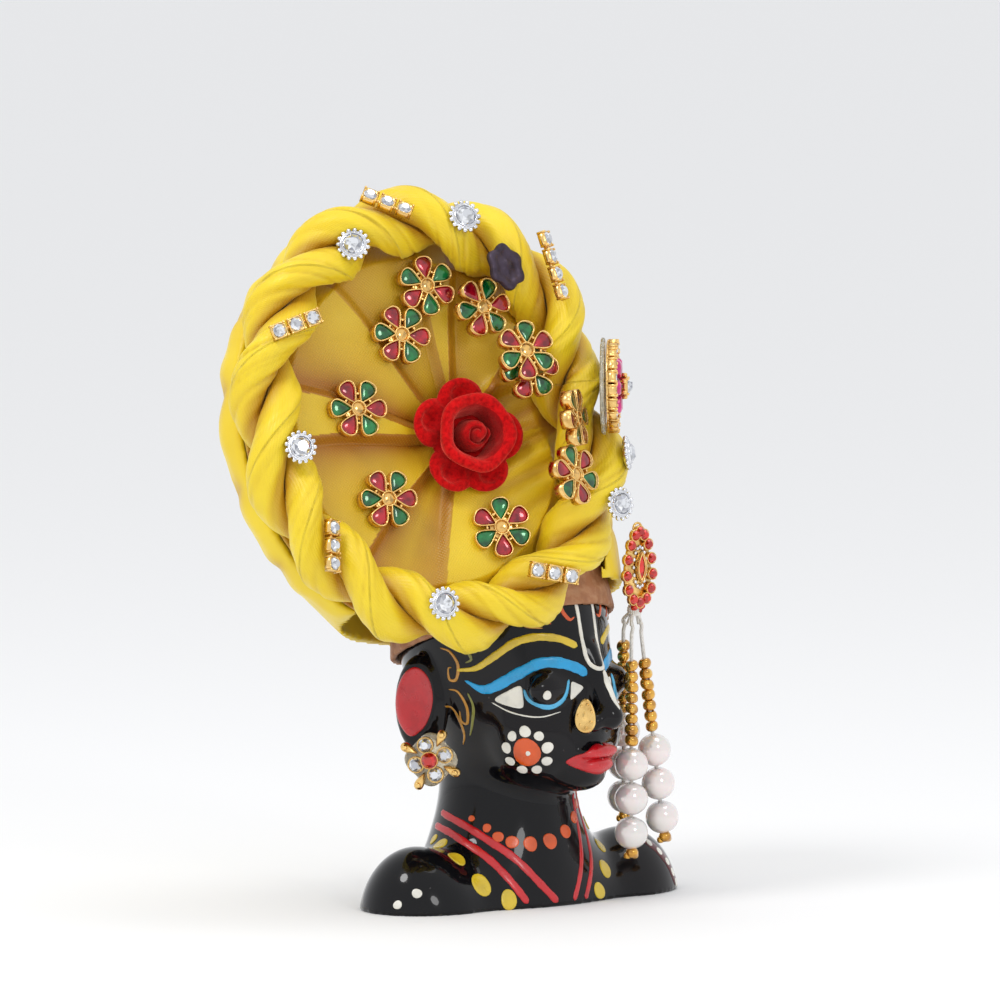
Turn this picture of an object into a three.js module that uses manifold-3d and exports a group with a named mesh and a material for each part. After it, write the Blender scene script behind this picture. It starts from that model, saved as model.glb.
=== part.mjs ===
// A glossy black doll's bust with a large fan-fronted turban, its studs, brooch and bead tassel.
// Millimetres, +Z up, the doll's chest faces -Y, and the flat base lies on Z = 0.
import * as THREE from 'three';
import { ConvexGeometry } from 'three/addons/geometries/ConvexGeometry.js';
import { mergeVertices } from 'three/addons/utils/BufferGeometryUtils.js';
import Module from 'manifold-3d';

const wasm = await Module();
wasm.setup();

// ---------------------------------------------------------------- driving dimensions

const GAP = 0.3; // left between pieces that touch
const WELD = 0.001; // vertices nearer than this are one

// Bust. The head is turned to the doll's left. Skull, face and jaw are ellipsoids in the head's own axes.
const HEAD_TURN = THREE.MathUtils.degToRad(12);
const SKULL = { centre: [0, 1, 47], radii: [17.5, 19.5, 23] };
const FACE = { centre: [0, -4.5, 37.5], radii: [14, 16, 17] };
const CHIN = { centre: [0, -9.5, 27.6], radii: [11, 11.4, 7.4] };
const NOSE = { bridge: 43, tip: 33.6, under: 31, halfWidth: 4.2, reach: 26.3, root: 17.5 };
const LIPS = { centre: [0, -20.2, 26.4], radii: [4.4, 1.9, 2] };
const EAR = { side: SKULL.radii[0] - 0.1, back: 5.2, height: 35.6, radii: [2.2, 4.9, 8.9], flare: 0.35 };
const NECK = { radius: 12.2, top: 34, y: 0.5 };
const TORSO = { centre: [0, -1, -4], radii: [20, 14, 20] };
const SHOULDER = { x: 23.6, y: -3.4, z: -1.5, radii: [10, 9.6, 13] };

// Earrings and the leaf stuck on the nose.
const EARRING = { side: EAR.side + 5, front: -1.2, height: 26.8, radius: 5.4, thick: 1.3, turn: 0.5 };
const EARRING_STONE = { radius: 1.5, height: 1.5 };
const NOSE_LEAF = { length: 6.4, width: 4.2, thick: 0.5, height: 34.4 };

// The turban lifts off upwards, so it keeps clear of the skull's path over this height.
const LIFT_ROOM = 40;

// Head band: a card strip round the skull, on a plane that rises towards the forehead.
const BAND = { level: 47.2, slope: 0.36, thick: 1.2, tall: 9, shown: 4 };

// The fan: an oval dish that faces forward, turned to the doll's right and leaning back.
const FAN_CENTRE = new THREE.Vector3(-25.9, -11.4, 87.7);
const FAN_TURN = THREE.MathUtils.degToRad(-15);
const FAN_LEAN = THREE.MathUtils.degToRad(15);
const FAN_ROLL = THREE.MathUtils.degToRad(11);
const FAN_SHEET = 1;
const HUB = { x: 7, y: -2.5, depth: 6.2, spread: 13 };
const DISH_EDGE_DEPTH = 2.5;

// Rope border: two stuffed tubes twisted together round the rim.
const ROPE = { tall: 35.3, wide: 30.8, strand: 3, twists: 7, start: 0.6 };
const DENT = { at: -0.07, reach: 0.3, depth: 4.4 }; // where the brooch presses the rope in
const ROPE_STEPS = 98;
const ROPE_SIDES = 8;

// Turban body: card and cloth from the rim back to the head.
const DRUM = { beyondRope: 3, depth: 7, wall: 1.6 };
const CAP_WALL = 2;

// Studs and stones.
const FLOWER = { radius: 5, lobe: 1.2, lobes: 6, thick: 1.7 };
const HALO = { radius: 3.1, height: 2 };
const BAR = { pitch: 3.3, width: 3.1, thick: 2 };
const ROSE = { radius: 9.6, inner: 6.4, bud: 3, petal: 2.6, cup: 5.2, budTall: 6.6 };

// Studs are lowered onto the fan and rope in small steps, from above them.
const SEAT = { from: 16, step: 0.05, margin: 0.6 };

// Brooch on the rim above the left brow, its place given in shares of the rope's half width and height.
const BROOCH_AT = [0.974, 0.102];
const BROOCH = {
  radius: 8.7,
  plate: 0.8,
  ringIn: 5.7,
  ringTall: 2.4,
  flower: 5.2,
  flowerTall: 2.6,
  stone: 2.1,
};


// Pendant and its three bead strands, hung beside the left temple.
const PENDANT = { x: 15.8, y: -17.4, top: 66.6, long: 15, wide: 8, thick: 1.6, turn: 0.06, hole: 0.9 };
const PENDANT_STONE = { long: 6, wide: 3, tall: 1.1 };
const TASSEL_TOP = 49.6;
const TASSEL_SPREAD_AT = 44;
const SEED = { radius: 1.05, pitch: 1.9 };
const PEARL = { radius: 3, bore: 0.75 };
const THREAD = 0.35;
const END_BEAD = 2.1;
const STRANDS = {
  front: { at: [14.2, -17.4], foot: [14.2, -17.4], end: 6.6, seeds: 8 },
  side: { at: [18, -16], foot: [22.6, -16.6], end: 8.8, seeds: 7 },
  back: { at: [16.2, -12.6], foot: [19.8, -8.2], end: 12, seeds: 7 },
};

// ---------------------------------------------------------------- materials

const finish = (color, roughness, metalness = 0) =>
  new THREE.MeshStandardMaterial({ color, roughness, metalness });
const LACQUER = finish(0x0c0c10, 0.12);
const SATIN = finish(0xe0c41c, 0.45);
const CARD = finish(0xa5694a, 0.7);
const FLOCK = finish(0xc4120f, 0.95);
const GOLD = finish(0xd9a441, 0.25, 1);
const ENAMEL = finish(0x8e1222, 0.2);
const DARK_METAL = finish(0x4a4350, 0.5, 0.6);
const CLEAR_STONE = finish(0xe6ebf2, 0.08);
const RED_STONE = finish(0xcc1a18, 0.1);
const PINK_ENAMEL = finish(0xc80f78, 0.2);
const CLEAR_PLASTIC = finish(0xdfd6c0, 0.15);
const PEARL_COAT = finish(0xeae1d7, 0.2);
const AMBER = finish(0xc8821a, 0.15);
const THREAD_WHITE = finish(0xf0ece2, 0.8);

// ---------------------------------------------------------------- solids

function closed(geometry) {
  const bare = geometry.clone();
  bare.deleteAttribute('normal');
  bare.deleteAttribute('uv');
  return mergeVertices(bare, WELD);
}

function solid(geometry) {
  const mesh = closed(geometry);
  const vertProperties = new Float32Array(mesh.attributes.position.array);
  const triVerts = new Uint32Array(mesh.index.array);
  return new wasm.Manifold(new wasm.Mesh({ numProp: 3, vertProperties, triVerts }));
}

function geometryOf(manifold) {
  const mesh = manifold.getMesh();
  const geometry = new THREE.BufferGeometry();
  geometry.setAttribute('position', new THREE.BufferAttribute(new Float32Array(mesh.vertProperties), 3));
  geometry.setIndex(new THREE.BufferAttribute(new Uint32Array(mesh.triVerts), 1));
  return geometry;
}

function pointsOf(geometry) {
  const position = geometry.attributes.position;
  const vertex = (i) => new THREE.Vector3().fromBufferAttribute(position, i);
  return Array.from({ length: position.count }, (_, i) => vertex(i));
}

function ellipsoid({ centre, radii }, grow = 0, across = 26, up = 16) {
  return new THREE.SphereGeometry(1, across, up)
    .rotateX(Math.PI / 2)
    .scale(...radii.map((r) => r + grow))
    .translate(...centre);
}

// A solid turned about Z from a profile of [radius, height] pairs.
function lathe(profile, sides) {
  const points = profile.map(([x, y]) => new THREE.Vector2(x, y));
  return new THREE.LatheGeometry(points, sides).rotateX(Math.PI / 2);
}

// A closed surface over a grid of points: rows of equal length, wrapping along each row, its ends
// each capped by a centre.
function skin(rows, wrapRows = false) {
  const across = rows[0].length;
  const points = rows.flat();
  const index = [];
  const spans = wrapRows ? rows.length : rows.length - 1;
  for (let i = 0; i < spans; i++) {
    for (let j = 0; j < across; j++) {
      const a = i * across + j;
      const b = i * across + ((j + 1) % across);
      const c = ((i + 1) % rows.length) * across + j;
      const d = ((i + 1) % rows.length) * across + ((j + 1) % across);
      index.push(a, b, d, a, d, c);
    }
  }
  if (!wrapRows) {
    for (const [row, flip] of [[0, true], [rows.length - 1, false]]) {
      const middle = rows[row].reduce((sum, p) => sum.add(p), new THREE.Vector3()).divideScalar(across);
      points.push(middle);
      for (let j = 0; j < across; j++) {
        const a = row * across + j;
        const b = row * across + ((j + 1) % across);
        index.push(...(flip ? [b, a, points.length - 1] : [a, b, points.length - 1]));
      }
    }
  }
  const geometry = new THREE.BufferGeometry().setFromPoints(points);
  geometry.setIndex(index);
  return geometry;
}

const group = new THREE.Group();

function add(name, geometry, material, parent = group) {
  const mesh = new THREE.Mesh(geometry, material);
  mesh.name = name;
  parent.add(mesh);
  return mesh;
}

// Half space above (keep = 1) or below (keep = -1) the band's sloping plane, raised by some height.
function bandSide(raised, keep) {
  const size = 300;
  const block = new THREE.BoxGeometry(size, size, size).translate(0, 0, (keep * size) / 2);
  block.rotateX(-Math.atan(BAND.slope));
  return solid(block.translate(0, 0, BAND.level + raised));
}

// ---------------------------------------------------------------- bust

const turnHead = new THREE.Matrix4().makeRotationZ(HEAD_TURN);
const inHead = (geometry) => geometry.applyMatrix4(turnHead);

function noseGeometry() {
  const { bridge, tip, under, halfWidth, reach, root } = NOSE;
  return new ConvexGeometry([
    new THREE.Vector3(1, -root, bridge),
    new THREE.Vector3(-1, -root, bridge),
    new THREE.Vector3(0, -root - 1.6, bridge - 1),
    new THREE.Vector3(halfWidth, -root, under),
    new THREE.Vector3(-halfWidth, -root, under),
    new THREE.Vector3(1.3, -reach, tip),
    new THREE.Vector3(-1.3, -reach, tip),
    new THREE.Vector3(1.2, -reach + 1, under),
    new THREE.Vector3(-1.2, -reach + 1, under),
  ]);
}

function earGeometry(side) {
  return ellipsoid({ centre: [0, 0, 0], radii: EAR.radii }, 0, 20, 14)
    .rotateZ(-side * EAR.flare)
    .translate(side * EAR.side, EAR.back, EAR.height);
}

function neckGeometry() {
  const { radius, top, y } = NECK;
  return new THREE.CylinderGeometry(radius, radius * 1.1, top, 32)
    .rotateX(Math.PI / 2)
    .translate(0, y, top / 2);
}

// Chest and the stubs of both arms, drawn together into one smooth form.
function torsoGeometry() {
  const arms = [1, -1].map((side) => ({
    centre: [side * SHOULDER.x, SHOULDER.y, SHOULDER.z],
    radii: SHOULDER.radii,
  }));
  return new ConvexGeometry([TORSO, ...arms].flatMap((form) => pointsOf(ellipsoid(form))));
}

function makeBust() {
  let bust = solid(inHead(ellipsoid(SKULL)));
  const pieces = [FACE, CHIN].map((part) => inHead(ellipsoid(part)));
  pieces.push(inHead(noseGeometry()), inHead(ellipsoid(LIPS, 0, 16, 10)));
  pieces.push(inHead(earGeometry(1)), inHead(earGeometry(-1)), neckGeometry(), torsoGeometry());
  for (const piece of pieces) bust = bust.add(solid(piece));
  const size = 300;
  const underBase = new THREE.BoxGeometry(size, size, size).translate(0, 0, -size / 2);
  return bust.subtract(solid(underBase));
}

const bust = makeBust();
add('bust', geometryOf(bust), LACQUER);

// ---------------------------------------------------------------- flat ornaments, made lying on Z = 0

function lobedDisc(radius, lobe, lobes, thick, points = 4) {
  const shape = new THREE.Shape();
  const count = lobes * points;
  for (let i = 0; i < count; i++) {
    const angle = (i / count) * Math.PI * 2;
    const r = radius - lobe * (1 - Math.cos(angle * lobes)) * 0.5;
    shape[i ? 'lineTo' : 'moveTo'](r * Math.cos(angle), r * Math.sin(angle));
  }
  return new THREE.ExtrudeGeometry(shape, { depth: thick, bevelEnabled: false });
}

function dome(radius, height, sides = 12) {
  const profile = [
    [0, 0],
    [radius, 0],
    [radius, height * 0.35],
    [radius * 0.62, height],
    [0, height],
  ];
  return lathe(profile, sides);
}

function ring(inner, outer, height, sides = 20) {
  const profile = [
    [inner, 0],
    [outer, 0],
    [outer, height],
    [inner, height],
    [inner, 0],
  ];
  return lathe(profile, sides);
}

function place(parent, name, geometry, material, position, out, up = new THREE.Vector3(0, 1, 0)) {
  const mesh = add(name, geometry, material, parent);
  const z = out.clone().normalize();
  const x = new THREE.Vector3().crossVectors(up, z).normalize();
  const y = new THREE.Vector3().crossVectors(z, x);
  mesh.quaternion.setFromRotationMatrix(new THREE.Matrix4().makeBasis(x, y, z));
  mesh.position.copy(position);
  return mesh;
}

// ---------------------------------------------------------------- head ornaments

const headGroup = new THREE.Group();
headGroup.rotation.z = HEAD_TURN;
group.add(headGroup);
const UP = new THREE.Vector3(0, 0, 1);

for (const [word, side] of [['right', -1], ['left', 1]]) {
  const out = new THREE.Vector3(side * Math.cos(EARRING.turn), -Math.sin(EARRING.turn), 0);
  const seat = new THREE.Vector3(side * EARRING.side, EARRING.front, EARRING.height);
  const mount = lobedDisc(EARRING.radius, 1.5, 8, EARRING.thick, 4);
  place(headGroup, `earring_${word}_mount`, mount, GOLD, seat, out, UP);
  const front = seat.clone().addScaledVector(out, EARRING.thick + GAP);
  const stone = dome(EARRING_STONE.radius, EARRING_STONE.height);
  place(headGroup, `earring_${word}_stone`, stone, RED_STONE, front, out, UP);
}

function leafOutline(length, width, points = 6) {
  const shape = new THREE.Shape();
  for (let i = 0; i <= points; i++) {
    const along = i / points;
    shape[i ? 'lineTo' : 'moveTo']((width / 2) * Math.sin(Math.PI * along), (along - 0.5) * length);
  }
  for (let i = points - 1; i > 0; i--) {
    const along = i / points;
    shape.lineTo((-width / 2) * Math.sin(Math.PI * along), (along - 0.5) * length);
  }
  return shape;
}

{
  const { length, width, thick, height } = NOSE_LEAF;
  const leaf = new THREE.ExtrudeGeometry(leafOutline(length, width), { depth: thick, bevelEnabled: false });
  const out = new THREE.Vector3(-0.93, -0.36, 0.1);
  place(headGroup, 'nose_leaf', leaf, GOLD, new THREE.Vector3(-4.4, -21.6, height), out, UP);
}

// ---------------------------------------------------------------- turban frame and rope border

const fanGroup = new THREE.Group();
fanGroup.rotation.set(Math.PI / 2 - FAN_LEAN, 0, FAN_TURN, 'ZXY');
fanGroup.position.copy(FAN_CENTRE);
group.add(fanGroup);
fanGroup.updateMatrixWorld(true);
const fanToWorld = fanGroup.matrixWorld;
const worldToFan = fanToWorld.clone().invert();

// A point on an oval concentric with the rope's centre line and some distance outside it, at height n.
function ovalPoint(angle, outside, n = 0) {
  const x = (ROPE.wide + outside) * Math.cos(angle);
  const y = (ROPE.tall + outside) * Math.sin(angle);
  const [c, s] = [Math.cos(FAN_ROLL), Math.sin(FAN_ROLL)];
  return new THREE.Vector3(x * c - y * s, x * s + y * c, n);
}

// How far the rope's centre line is pressed inwards at an angle round the oval.
function dent(angle) {
  const away = Math.atan2(Math.sin(angle - DENT.at), Math.cos(angle - DENT.at));
  return DENT.depth * Math.exp(-((away / DENT.reach) ** 2));
}

const ropeMiddle = (angle) => ovalPoint(angle, -dent(angle));

// Unit vector across the rope, outward, in the fan's plane.
function ropeOutward(angle) {
  const ahead = ropeMiddle(angle + 0.001).sub(ropeMiddle(angle - 0.001)).normalize();
  return new THREE.Vector3(ahead.y, -ahead.x, 0);
}

const ROPE_HELIX = ROPE.strand + GAP / 2;
const ROPE_REACH = ROPE_HELIX + ROPE.strand;

function ropeStrand(phase) {
  const rows = [];
  for (let i = 0; i < ROPE_STEPS; i++) {
    const angle = (i / ROPE_STEPS) * Math.PI * 2;
    const twist = phase - ROPE.twists * angle;
    const out = ropeOutward(angle);
    const centre = ropeMiddle(angle);
    const row = [];
    for (let j = 0; j < ROPE_SIDES; j++) {
      const around = (-j / ROPE_SIDES) * Math.PI * 2;
      const across = ROPE_HELIX * Math.cos(twist) + ROPE.strand * Math.cos(around);
      const height = ROPE_HELIX * Math.sin(twist) + ROPE.strand * Math.sin(around);
      row.push(centre.clone().addScaledVector(out, across).add(new THREE.Vector3(0, 0, height)));
    }
    rows.push(row);
  }
  return skin(rows, true);
}

const strandA = ropeStrand(ROPE.start);
const strandB = ropeStrand(ROPE.start + Math.PI);
add('border_strand_a', strandA, SATIN, fanGroup);
add('border_strand_b', strandB, SATIN, fanGroup);

// The ring of space that the two strands turn in.
function ropeRoom(clearance) {
  const rows = [];
  for (let i = 0; i < 72; i++) {
    const angle = (i / 72) * Math.PI * 2;
    const out = ropeOutward(angle);
    const row = [];
    for (let j = 0; j < 12; j++) {
      const around = (-j / 12) * Math.PI * 2;
      const reach = (ROPE_REACH + clearance) / Math.cos(Math.PI / 12);
      const p = ropeMiddle(angle).addScaledVector(out, reach * Math.cos(around));
      row.push(p.add(new THREE.Vector3(0, 0, reach * Math.sin(around))));
    }
    rows.push(row);
  }
  return solid(skin(rows, true).applyMatrix4(fanToWorld));
}

// ---------------------------------------------------------------- pleated fan

const FLANGE_DEPTH = ROPE_REACH + GAP;

// Height of the dish over the fan's plane: deepest at the hub, and drawn under the rope at its edge.
function dishHeight(x, y) {
  const [c, s] = [Math.cos(FAN_ROLL), Math.sin(FAN_ROLL)];
  const [u, v] = [x * c + y * s, -x * s + y * c];
  const share = Math.hypot(u / ROPE.wide, v / ROPE.tall);
  const pressed = dent(Math.atan2(v / ROPE.tall, u / ROPE.wide));
  const inside = Math.hypot(u, v) * (1 / Math.max(share, 0.001) - 1) - pressed;
  const hub = Math.hypot(x - HUB.x, y - HUB.y);
  const dish = -DISH_EDGE_DEPTH - (HUB.depth - DISH_EDGE_DEPTH) * Math.exp(-((hub / HUB.spread) ** 2));
  const room = FLANGE_DEPTH ** 2 - Math.max(inside, 0) ** 2;
  const under = room > 0 ? -Math.sqrt(room) : 0;
  return Math.min(dish, share < 1 ? under : -FLANGE_DEPTH);
}

function fanGeometry() {
  const [rings, across] = [11, 40];
  const top = [];
  for (let i = 1; i <= rings; i++) {
    const share = i <= 7 ? (i / 7) * 0.76 : 0.76 + ((i - 7) / 4) * 0.3;
    const row = [];
    for (let j = 0; j < across; j++) {
      const p = ovalPoint((j / across) * Math.PI * 2, 0).multiplyScalar(share);
      row.push(new THREE.Vector3(p.x, p.y, dishHeight(p.x, p.y)));
    }
    top.push(row);
  }
  const under = top.map((row) => row.map((p) => p.clone().setZ(p.z - FAN_SHEET)));
  return skin([...under, ...top.reverse()]);
}

// The skull and the space it leaves as the turban is lifted off it.
function skullRoom(grow) {
  const above = pointsOf(inHead(ellipsoid(SKULL, grow)));
  const below = above.map((p) => p.clone().setZ(p.z - LIFT_ROOM));
  return solid(new ConvexGeometry([...above, ...below]));
}

const fanWorld = solid(fanGeometry().applyMatrix4(fanToWorld)).subtract(skullRoom(GAP));
add('pleated_fan', geometryOf(fanWorld), SATIN);

// ---------------------------------------------------------------- head band and turban body

const bandOffset = GAP + BAND.thick;
const headBand = skullRoom(bandOffset)
  .subtract(skullRoom(GAP))
  .intersect(bandSide(0, 1))
  .intersect(bandSide(BAND.tall, -1))
  .subtract(ropeRoom(GAP));
const ears = [1, -1].map((side) => solid(inHead(earGeometry(side).translate(0, 0, GAP))));
add('head_band', geometryOf(ears.reduce((band, ear) => band.subtract(ear), headBand)), CARD);

function ovalRing(outside, n, count = 40) {
  const points = [];
  for (let i = 0; i < count; i++) {
    points.push(ovalPoint((i / count) * Math.PI * 2, outside, n).applyMatrix4(fanToWorld));
  }
  return points;
}

function skullPoints(grow, lowest) {
  const points = pointsOf(inHead(ellipsoid(SKULL, grow, 28, 18)));
  return points.filter((p) => p.z + BAND.slope * p.y > BAND.level + lowest);
}

const DRUM_FRONT = -(FLANGE_DEPTH + FAN_SHEET + GAP);

function makeShell() {
  const capInside = bandOffset + GAP;
  const outer = new ConvexGeometry([
    ...ovalRing(DRUM.beyondRope, DRUM_FRONT),
    ...ovalRing(DRUM.beyondRope + 0.8, DRUM_FRONT - DRUM.depth / 2),
    ...ovalRing(DRUM.beyondRope, DRUM_FRONT - DRUM.depth),
    ...skullPoints(capInside + CAP_WALL, -3),
  ]);
  const inner = new ConvexGeometry([
    ...ovalRing(DRUM.beyondRope - DRUM.wall, DRUM_FRONT + 4),
    ...ovalRing(DRUM.beyondRope - DRUM.wall, DRUM_FRONT - DRUM.depth + 1),
    ...skullPoints(capInside, -8),
  ]);
  const size = 300;
  const front = new THREE.BoxGeometry(size, size, size).translate(0, 0, size / 2 + DRUM_FRONT);
  return solid(outer)
    .subtract(solid(inner))
    .subtract(skullRoom(capInside))
    .intersect(bandSide(BAND.shown, 1))
    .subtract(solid(front.applyMatrix4(fanToWorld)))
    .subtract(ropeRoom(GAP));
}

const shell = makeShell();
add('turban_shell', geometryOf(shell), SATIN);

// ---------------------------------------------------------------- seating studs on the fan and the rope

const seats = [strandA, strandB, fanGeometry()].flatMap(pointsOf);

// Lowers a flat seat of some radius over a place on the fan's plane until it meets what is under it.
// The place is given in shares of the rope's half width and height.
function seatOver(at, out, radius) {
  const seat = new THREE.Vector3(at[0] * ROPE.wide, at[1] * ROPE.tall, SEAT.from);
  const room = () => {
    const offset = new THREE.Vector3();
    return seats.every((p) => {
      const along = offset.copy(p).sub(seat).dot(out);
      return along < -GAP || offset.addScaledVector(out, -along).length() > radius + SEAT.margin;
    });
  };
  while (seat.z > -FLANGE_DEPTH && room()) seat.z -= SEAT.step;
  seat.z += SEAT.step;
  return seat;
}

function outAt(tiltRight, tiltUp) {
  const [right, up] = [tiltRight, tiltUp].map(THREE.MathUtils.degToRad);
  return new THREE.Vector3(Math.sin(right) * Math.cos(up), Math.sin(up), Math.cos(right) * Math.cos(up));
}

function seated(name, geometry, material, { at, tilt = [0, 0], spin = 0, radius, lift = 0 }) {
  const out = outAt(...tilt);
  const seat = seatOver(at, out, radius).addScaledVector(out, lift);
  const up = new THREE.Vector3(-Math.sin(spin), Math.cos(spin), 0);
  return place(fanGroup, name, geometry, material, seat, out, up);
}

// Each flower's place on the fan, with its tilt to the right and up in degrees.
const FLOWERS = [
  { at: [0.062, 0.677], spin: 0.3 },
  { at: [0.357, 0.547], spin: 0.1, tilt: [8, 0] },
  { at: [-0.123, 0.436], spin: 0.5 },
  { at: [-0.435, 0.074], spin: 0.2 },
  { at: [-0.305, -0.385], spin: 0.7 },
  { at: [0.377, -0.555], spin: 0.4, tilt: [-14, 0] },
  { at: [0.711, -0.346], spin: 0.2, tilt: [24, 0] },
  { at: [0.695, -0.068], spin: 0.6, tilt: [50, 0], lift: 0.6 },
  { at: [0.519, 0.28], spin: 0.35, tilt: [0, 6], lift: 3 },
];
FLOWERS.forEach((flower, i) => {
  const geometry = lobedDisc(FLOWER.radius, FLOWER.lobe, FLOWER.lobes, FLOWER.thick);
  seated(`flower_stud_${i + 1}`, geometry, ENAMEL, { ...flower, radius: FLOWER.radius });
});
const hiddenFlower = lobedDisc(FLOWER.radius, FLOWER.lobe, FLOWER.lobes, FLOWER.thick);
seated('flower_stud_10', hiddenFlower, ENAMEL, { at: [0.571, 0.21], spin: 0.8, radius: FLOWER.radius });
const turnedFlower = lobedDisc(FLOWER.radius - 0.6, 0.4, 3, 1.2, 8);
seated('flower_stud_reversed', turnedFlower, DARK_METAL, { at: [0.429, 0.714], tilt: [24, 8], radius: 4.4 });

// Round stones in a halo of small ones, on the rope.
const HALOS = [
  { at: [-0.435, 0.867], tilt: [-22, 8], lift: 0.3 },
  { at: [0.234, 0.98], tilt: [0, 10] },
  { at: [-0.896, -0.136], tilt: [-4, 0] },
  { at: [-0.136, -0.952], tilt: [4, -6] },
  { at: [1.026, -0.487], tilt: [18, -6] },
  { at: [1.097, -0.232], tilt: [62, 0] },
];
HALOS.forEach((halo, i) => {
  const stone = dome(HALO.radius, HALO.height);
  seated(`halo_stone_${i + 1}`, stone, CLEAR_STONE, { ...halo, radius: HALO.radius });
});

function barGeometry(stones) {
  const long = stones * BAR.pitch;
  return new THREE.BoxGeometry(long, BAR.width, BAR.thick).translate(0, 0, BAR.thick / 2);
}

// Short bars of square-set stones, on the rope.
const BARS = [
  { at: [-0.214, 1.059], tilt: [0, 34], spin: -0.5, stones: 3 },
  { at: [-0.87, 0.47], tilt: [-10, 0], spin: 0.3, stones: 3 },
  { at: [-0.773, -0.635], tilt: [30, 0], spin: 1.45, stones: 3 },
  { at: [0.565, -0.822], tilt: [0, -10], spin: -0.2, stones: 3 },
  { at: [0.727, 0.714], tilt: [46, 10], spin: 1.75, stones: 4 },
];
BARS.forEach(({ stones, ...bar }, i) => {
  const radius = stones * BAR.pitch * 0.34;
  seated(`stone_bar_${i + 1}`, barGeometry(stones), CLEAR_STONE, { ...bar, radius });
});

// ---------------------------------------------------------------- rose

function cup(radius, inner, depth, sides = 20) {
  const profile = [
    [inner * 0.45, 0],
    [radius * 0.72, 0],
    [radius, depth * 0.55],
    [radius * 0.94, depth],
    [inner, depth * 0.7],
    [inner * 0.45, 0],
  ];
  return lathe(profile, sides);
}

{
  const at = [HUB.x / ROPE.wide, HUB.y / ROPE.tall];
  const { radius, inner, bud, petal, cup: cupTall, budTall } = ROSE;
  const outer = lobedDisc(radius, 2.4, 5, petal, 8);
  const rose = seated('rose_outer_petals', outer, FLOCK, { at, spin: 0.3, radius });
  const top = rose.position.clone().add(new THREE.Vector3(0, 0, petal + GAP));
  const out = new THREE.Vector3(0, 0, 1);
  place(fanGroup, 'rose_inner_petals', cup(inner, bud + GAP, cupTall), FLOCK, top, out);
  const budProfile = [
    [0, 0],
    [(bud + GAP) * 0.45 - GAP, 0],
    [bud - GAP, cupTall * 0.7],
    [bud * 0.8, budTall],
    [0, budTall],
  ];
  place(fanGroup, 'rose_bud', lathe(budProfile, 14), FLOCK, top, out);
}

// ---------------------------------------------------------------- brooch

{
  const out = new THREE.Vector3(0.9, -0.1, 0.42).normalize();
  const seat = seatOver(BROOCH_AT, out, BROOCH.radius);
  const stack = (height) => seat.clone().addScaledVector(out, height);
  place(fanGroup, 'brooch_plate', dome(BROOCH.radius, BROOCH.plate, 28), CLEAR_PLASTIC, seat, out);
  const onPlate = stack(BROOCH.plate + GAP);
  const stoneRing = ring(BROOCH.ringIn, BROOCH.radius * 0.96, BROOCH.ringTall);
  place(fanGroup, 'brooch_stone_ring', stoneRing, GOLD, onPlate, out);
  const flower = lobedDisc(BROOCH.flower, 1, 6, BROOCH.flowerTall);
  place(fanGroup, 'brooch_flower', flower, PINK_ENAMEL, onPlate, out);
  const onFlower = stack(BROOCH.plate + BROOCH.flowerTall + 2 * GAP);
  place(fanGroup, 'brooch_stone', dome(BROOCH.stone, 1.6), CLEAR_STONE, onFlower, out);
}

// ---------------------------------------------------------------- pendant

{
  const { x, y, top, long, wide, thick, turn, hole } = PENDANT;
  const out = new THREE.Vector3(Math.sin(turn), -Math.cos(turn), 0);
  const middle = new THREE.Vector3(x, y, top - long / 2).addScaledVector(out, -thick / 2);
  const outline = leafOutline(long, wide, 8);
  const eye = new THREE.Path();
  eye.absarc(0, long / 2 - 2.2, hole, 0, Math.PI * 2, true);
  outline.holes.push(eye);
  const plate = new THREE.ExtrudeGeometry(outline, { depth: thick, bevelEnabled: false, curveSegments: 5 });
  place(group, 'pendant_frame', plate, RED_STONE, middle, out, UP);
  const stoneSeat = middle.clone().addScaledVector(out, thick + GAP);
  const stoneShape = leafOutline(PENDANT_STONE.long, PENDANT_STONE.wide, 5);
  const stone = new THREE.ExtrudeGeometry(stoneShape, { depth: PENDANT_STONE.tall, bevelEnabled: false });
  place(group, 'pendant_stone', stone, RED_STONE, stoneSeat, out, UP);
}

// ---------------------------------------------------------------- bead strands

// A column of small round beads fused end to end round an open bore.
function seedColumn(count) {
  const bore = THREAD + GAP;
  const profile = [[bore, 0]];
  for (let i = 0; i < count; i++) {
    const base = i * SEED.pitch;
    profile.push([SEED.radius * 0.75, base + (i ? 0.12 : 0)]);
    profile.push([SEED.radius, base + SEED.pitch / 2]);
    profile.push([SEED.radius * 0.75, base + SEED.pitch - 0.12]);
  }
  profile.push([bore, count * SEED.pitch], [bore, 0]);
  return lathe(profile, 8);
}

function pearlGeometry() {
  const { radius, bore } = PEARL;
  const start = Math.asin(bore / radius);
  const profile = [];
  for (let i = 0; i <= 7; i++) {
    const angle = start + ((Math.PI - 2 * start) * i) / 7;
    profile.push([radius * Math.sin(angle), -radius * Math.cos(angle)]);
  }
  profile.push(profile[0]);
  return lathe(profile, 12);
}

// The thread with the bead it is knotted through at its foot, from Z = 0 up.
function threadGeometry(length) {
  const end = SEED.radius * 1.25;
  const profile = [
    [0, 0],
    [end * 0.7, 0.2],
    [end, END_BEAD / 2],
    [end * 0.7, END_BEAD - 0.2],
    [THREAD, END_BEAD],
    [THREAD, length],
    [0, length],
  ];
  return lathe(profile, 8);
}

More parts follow.
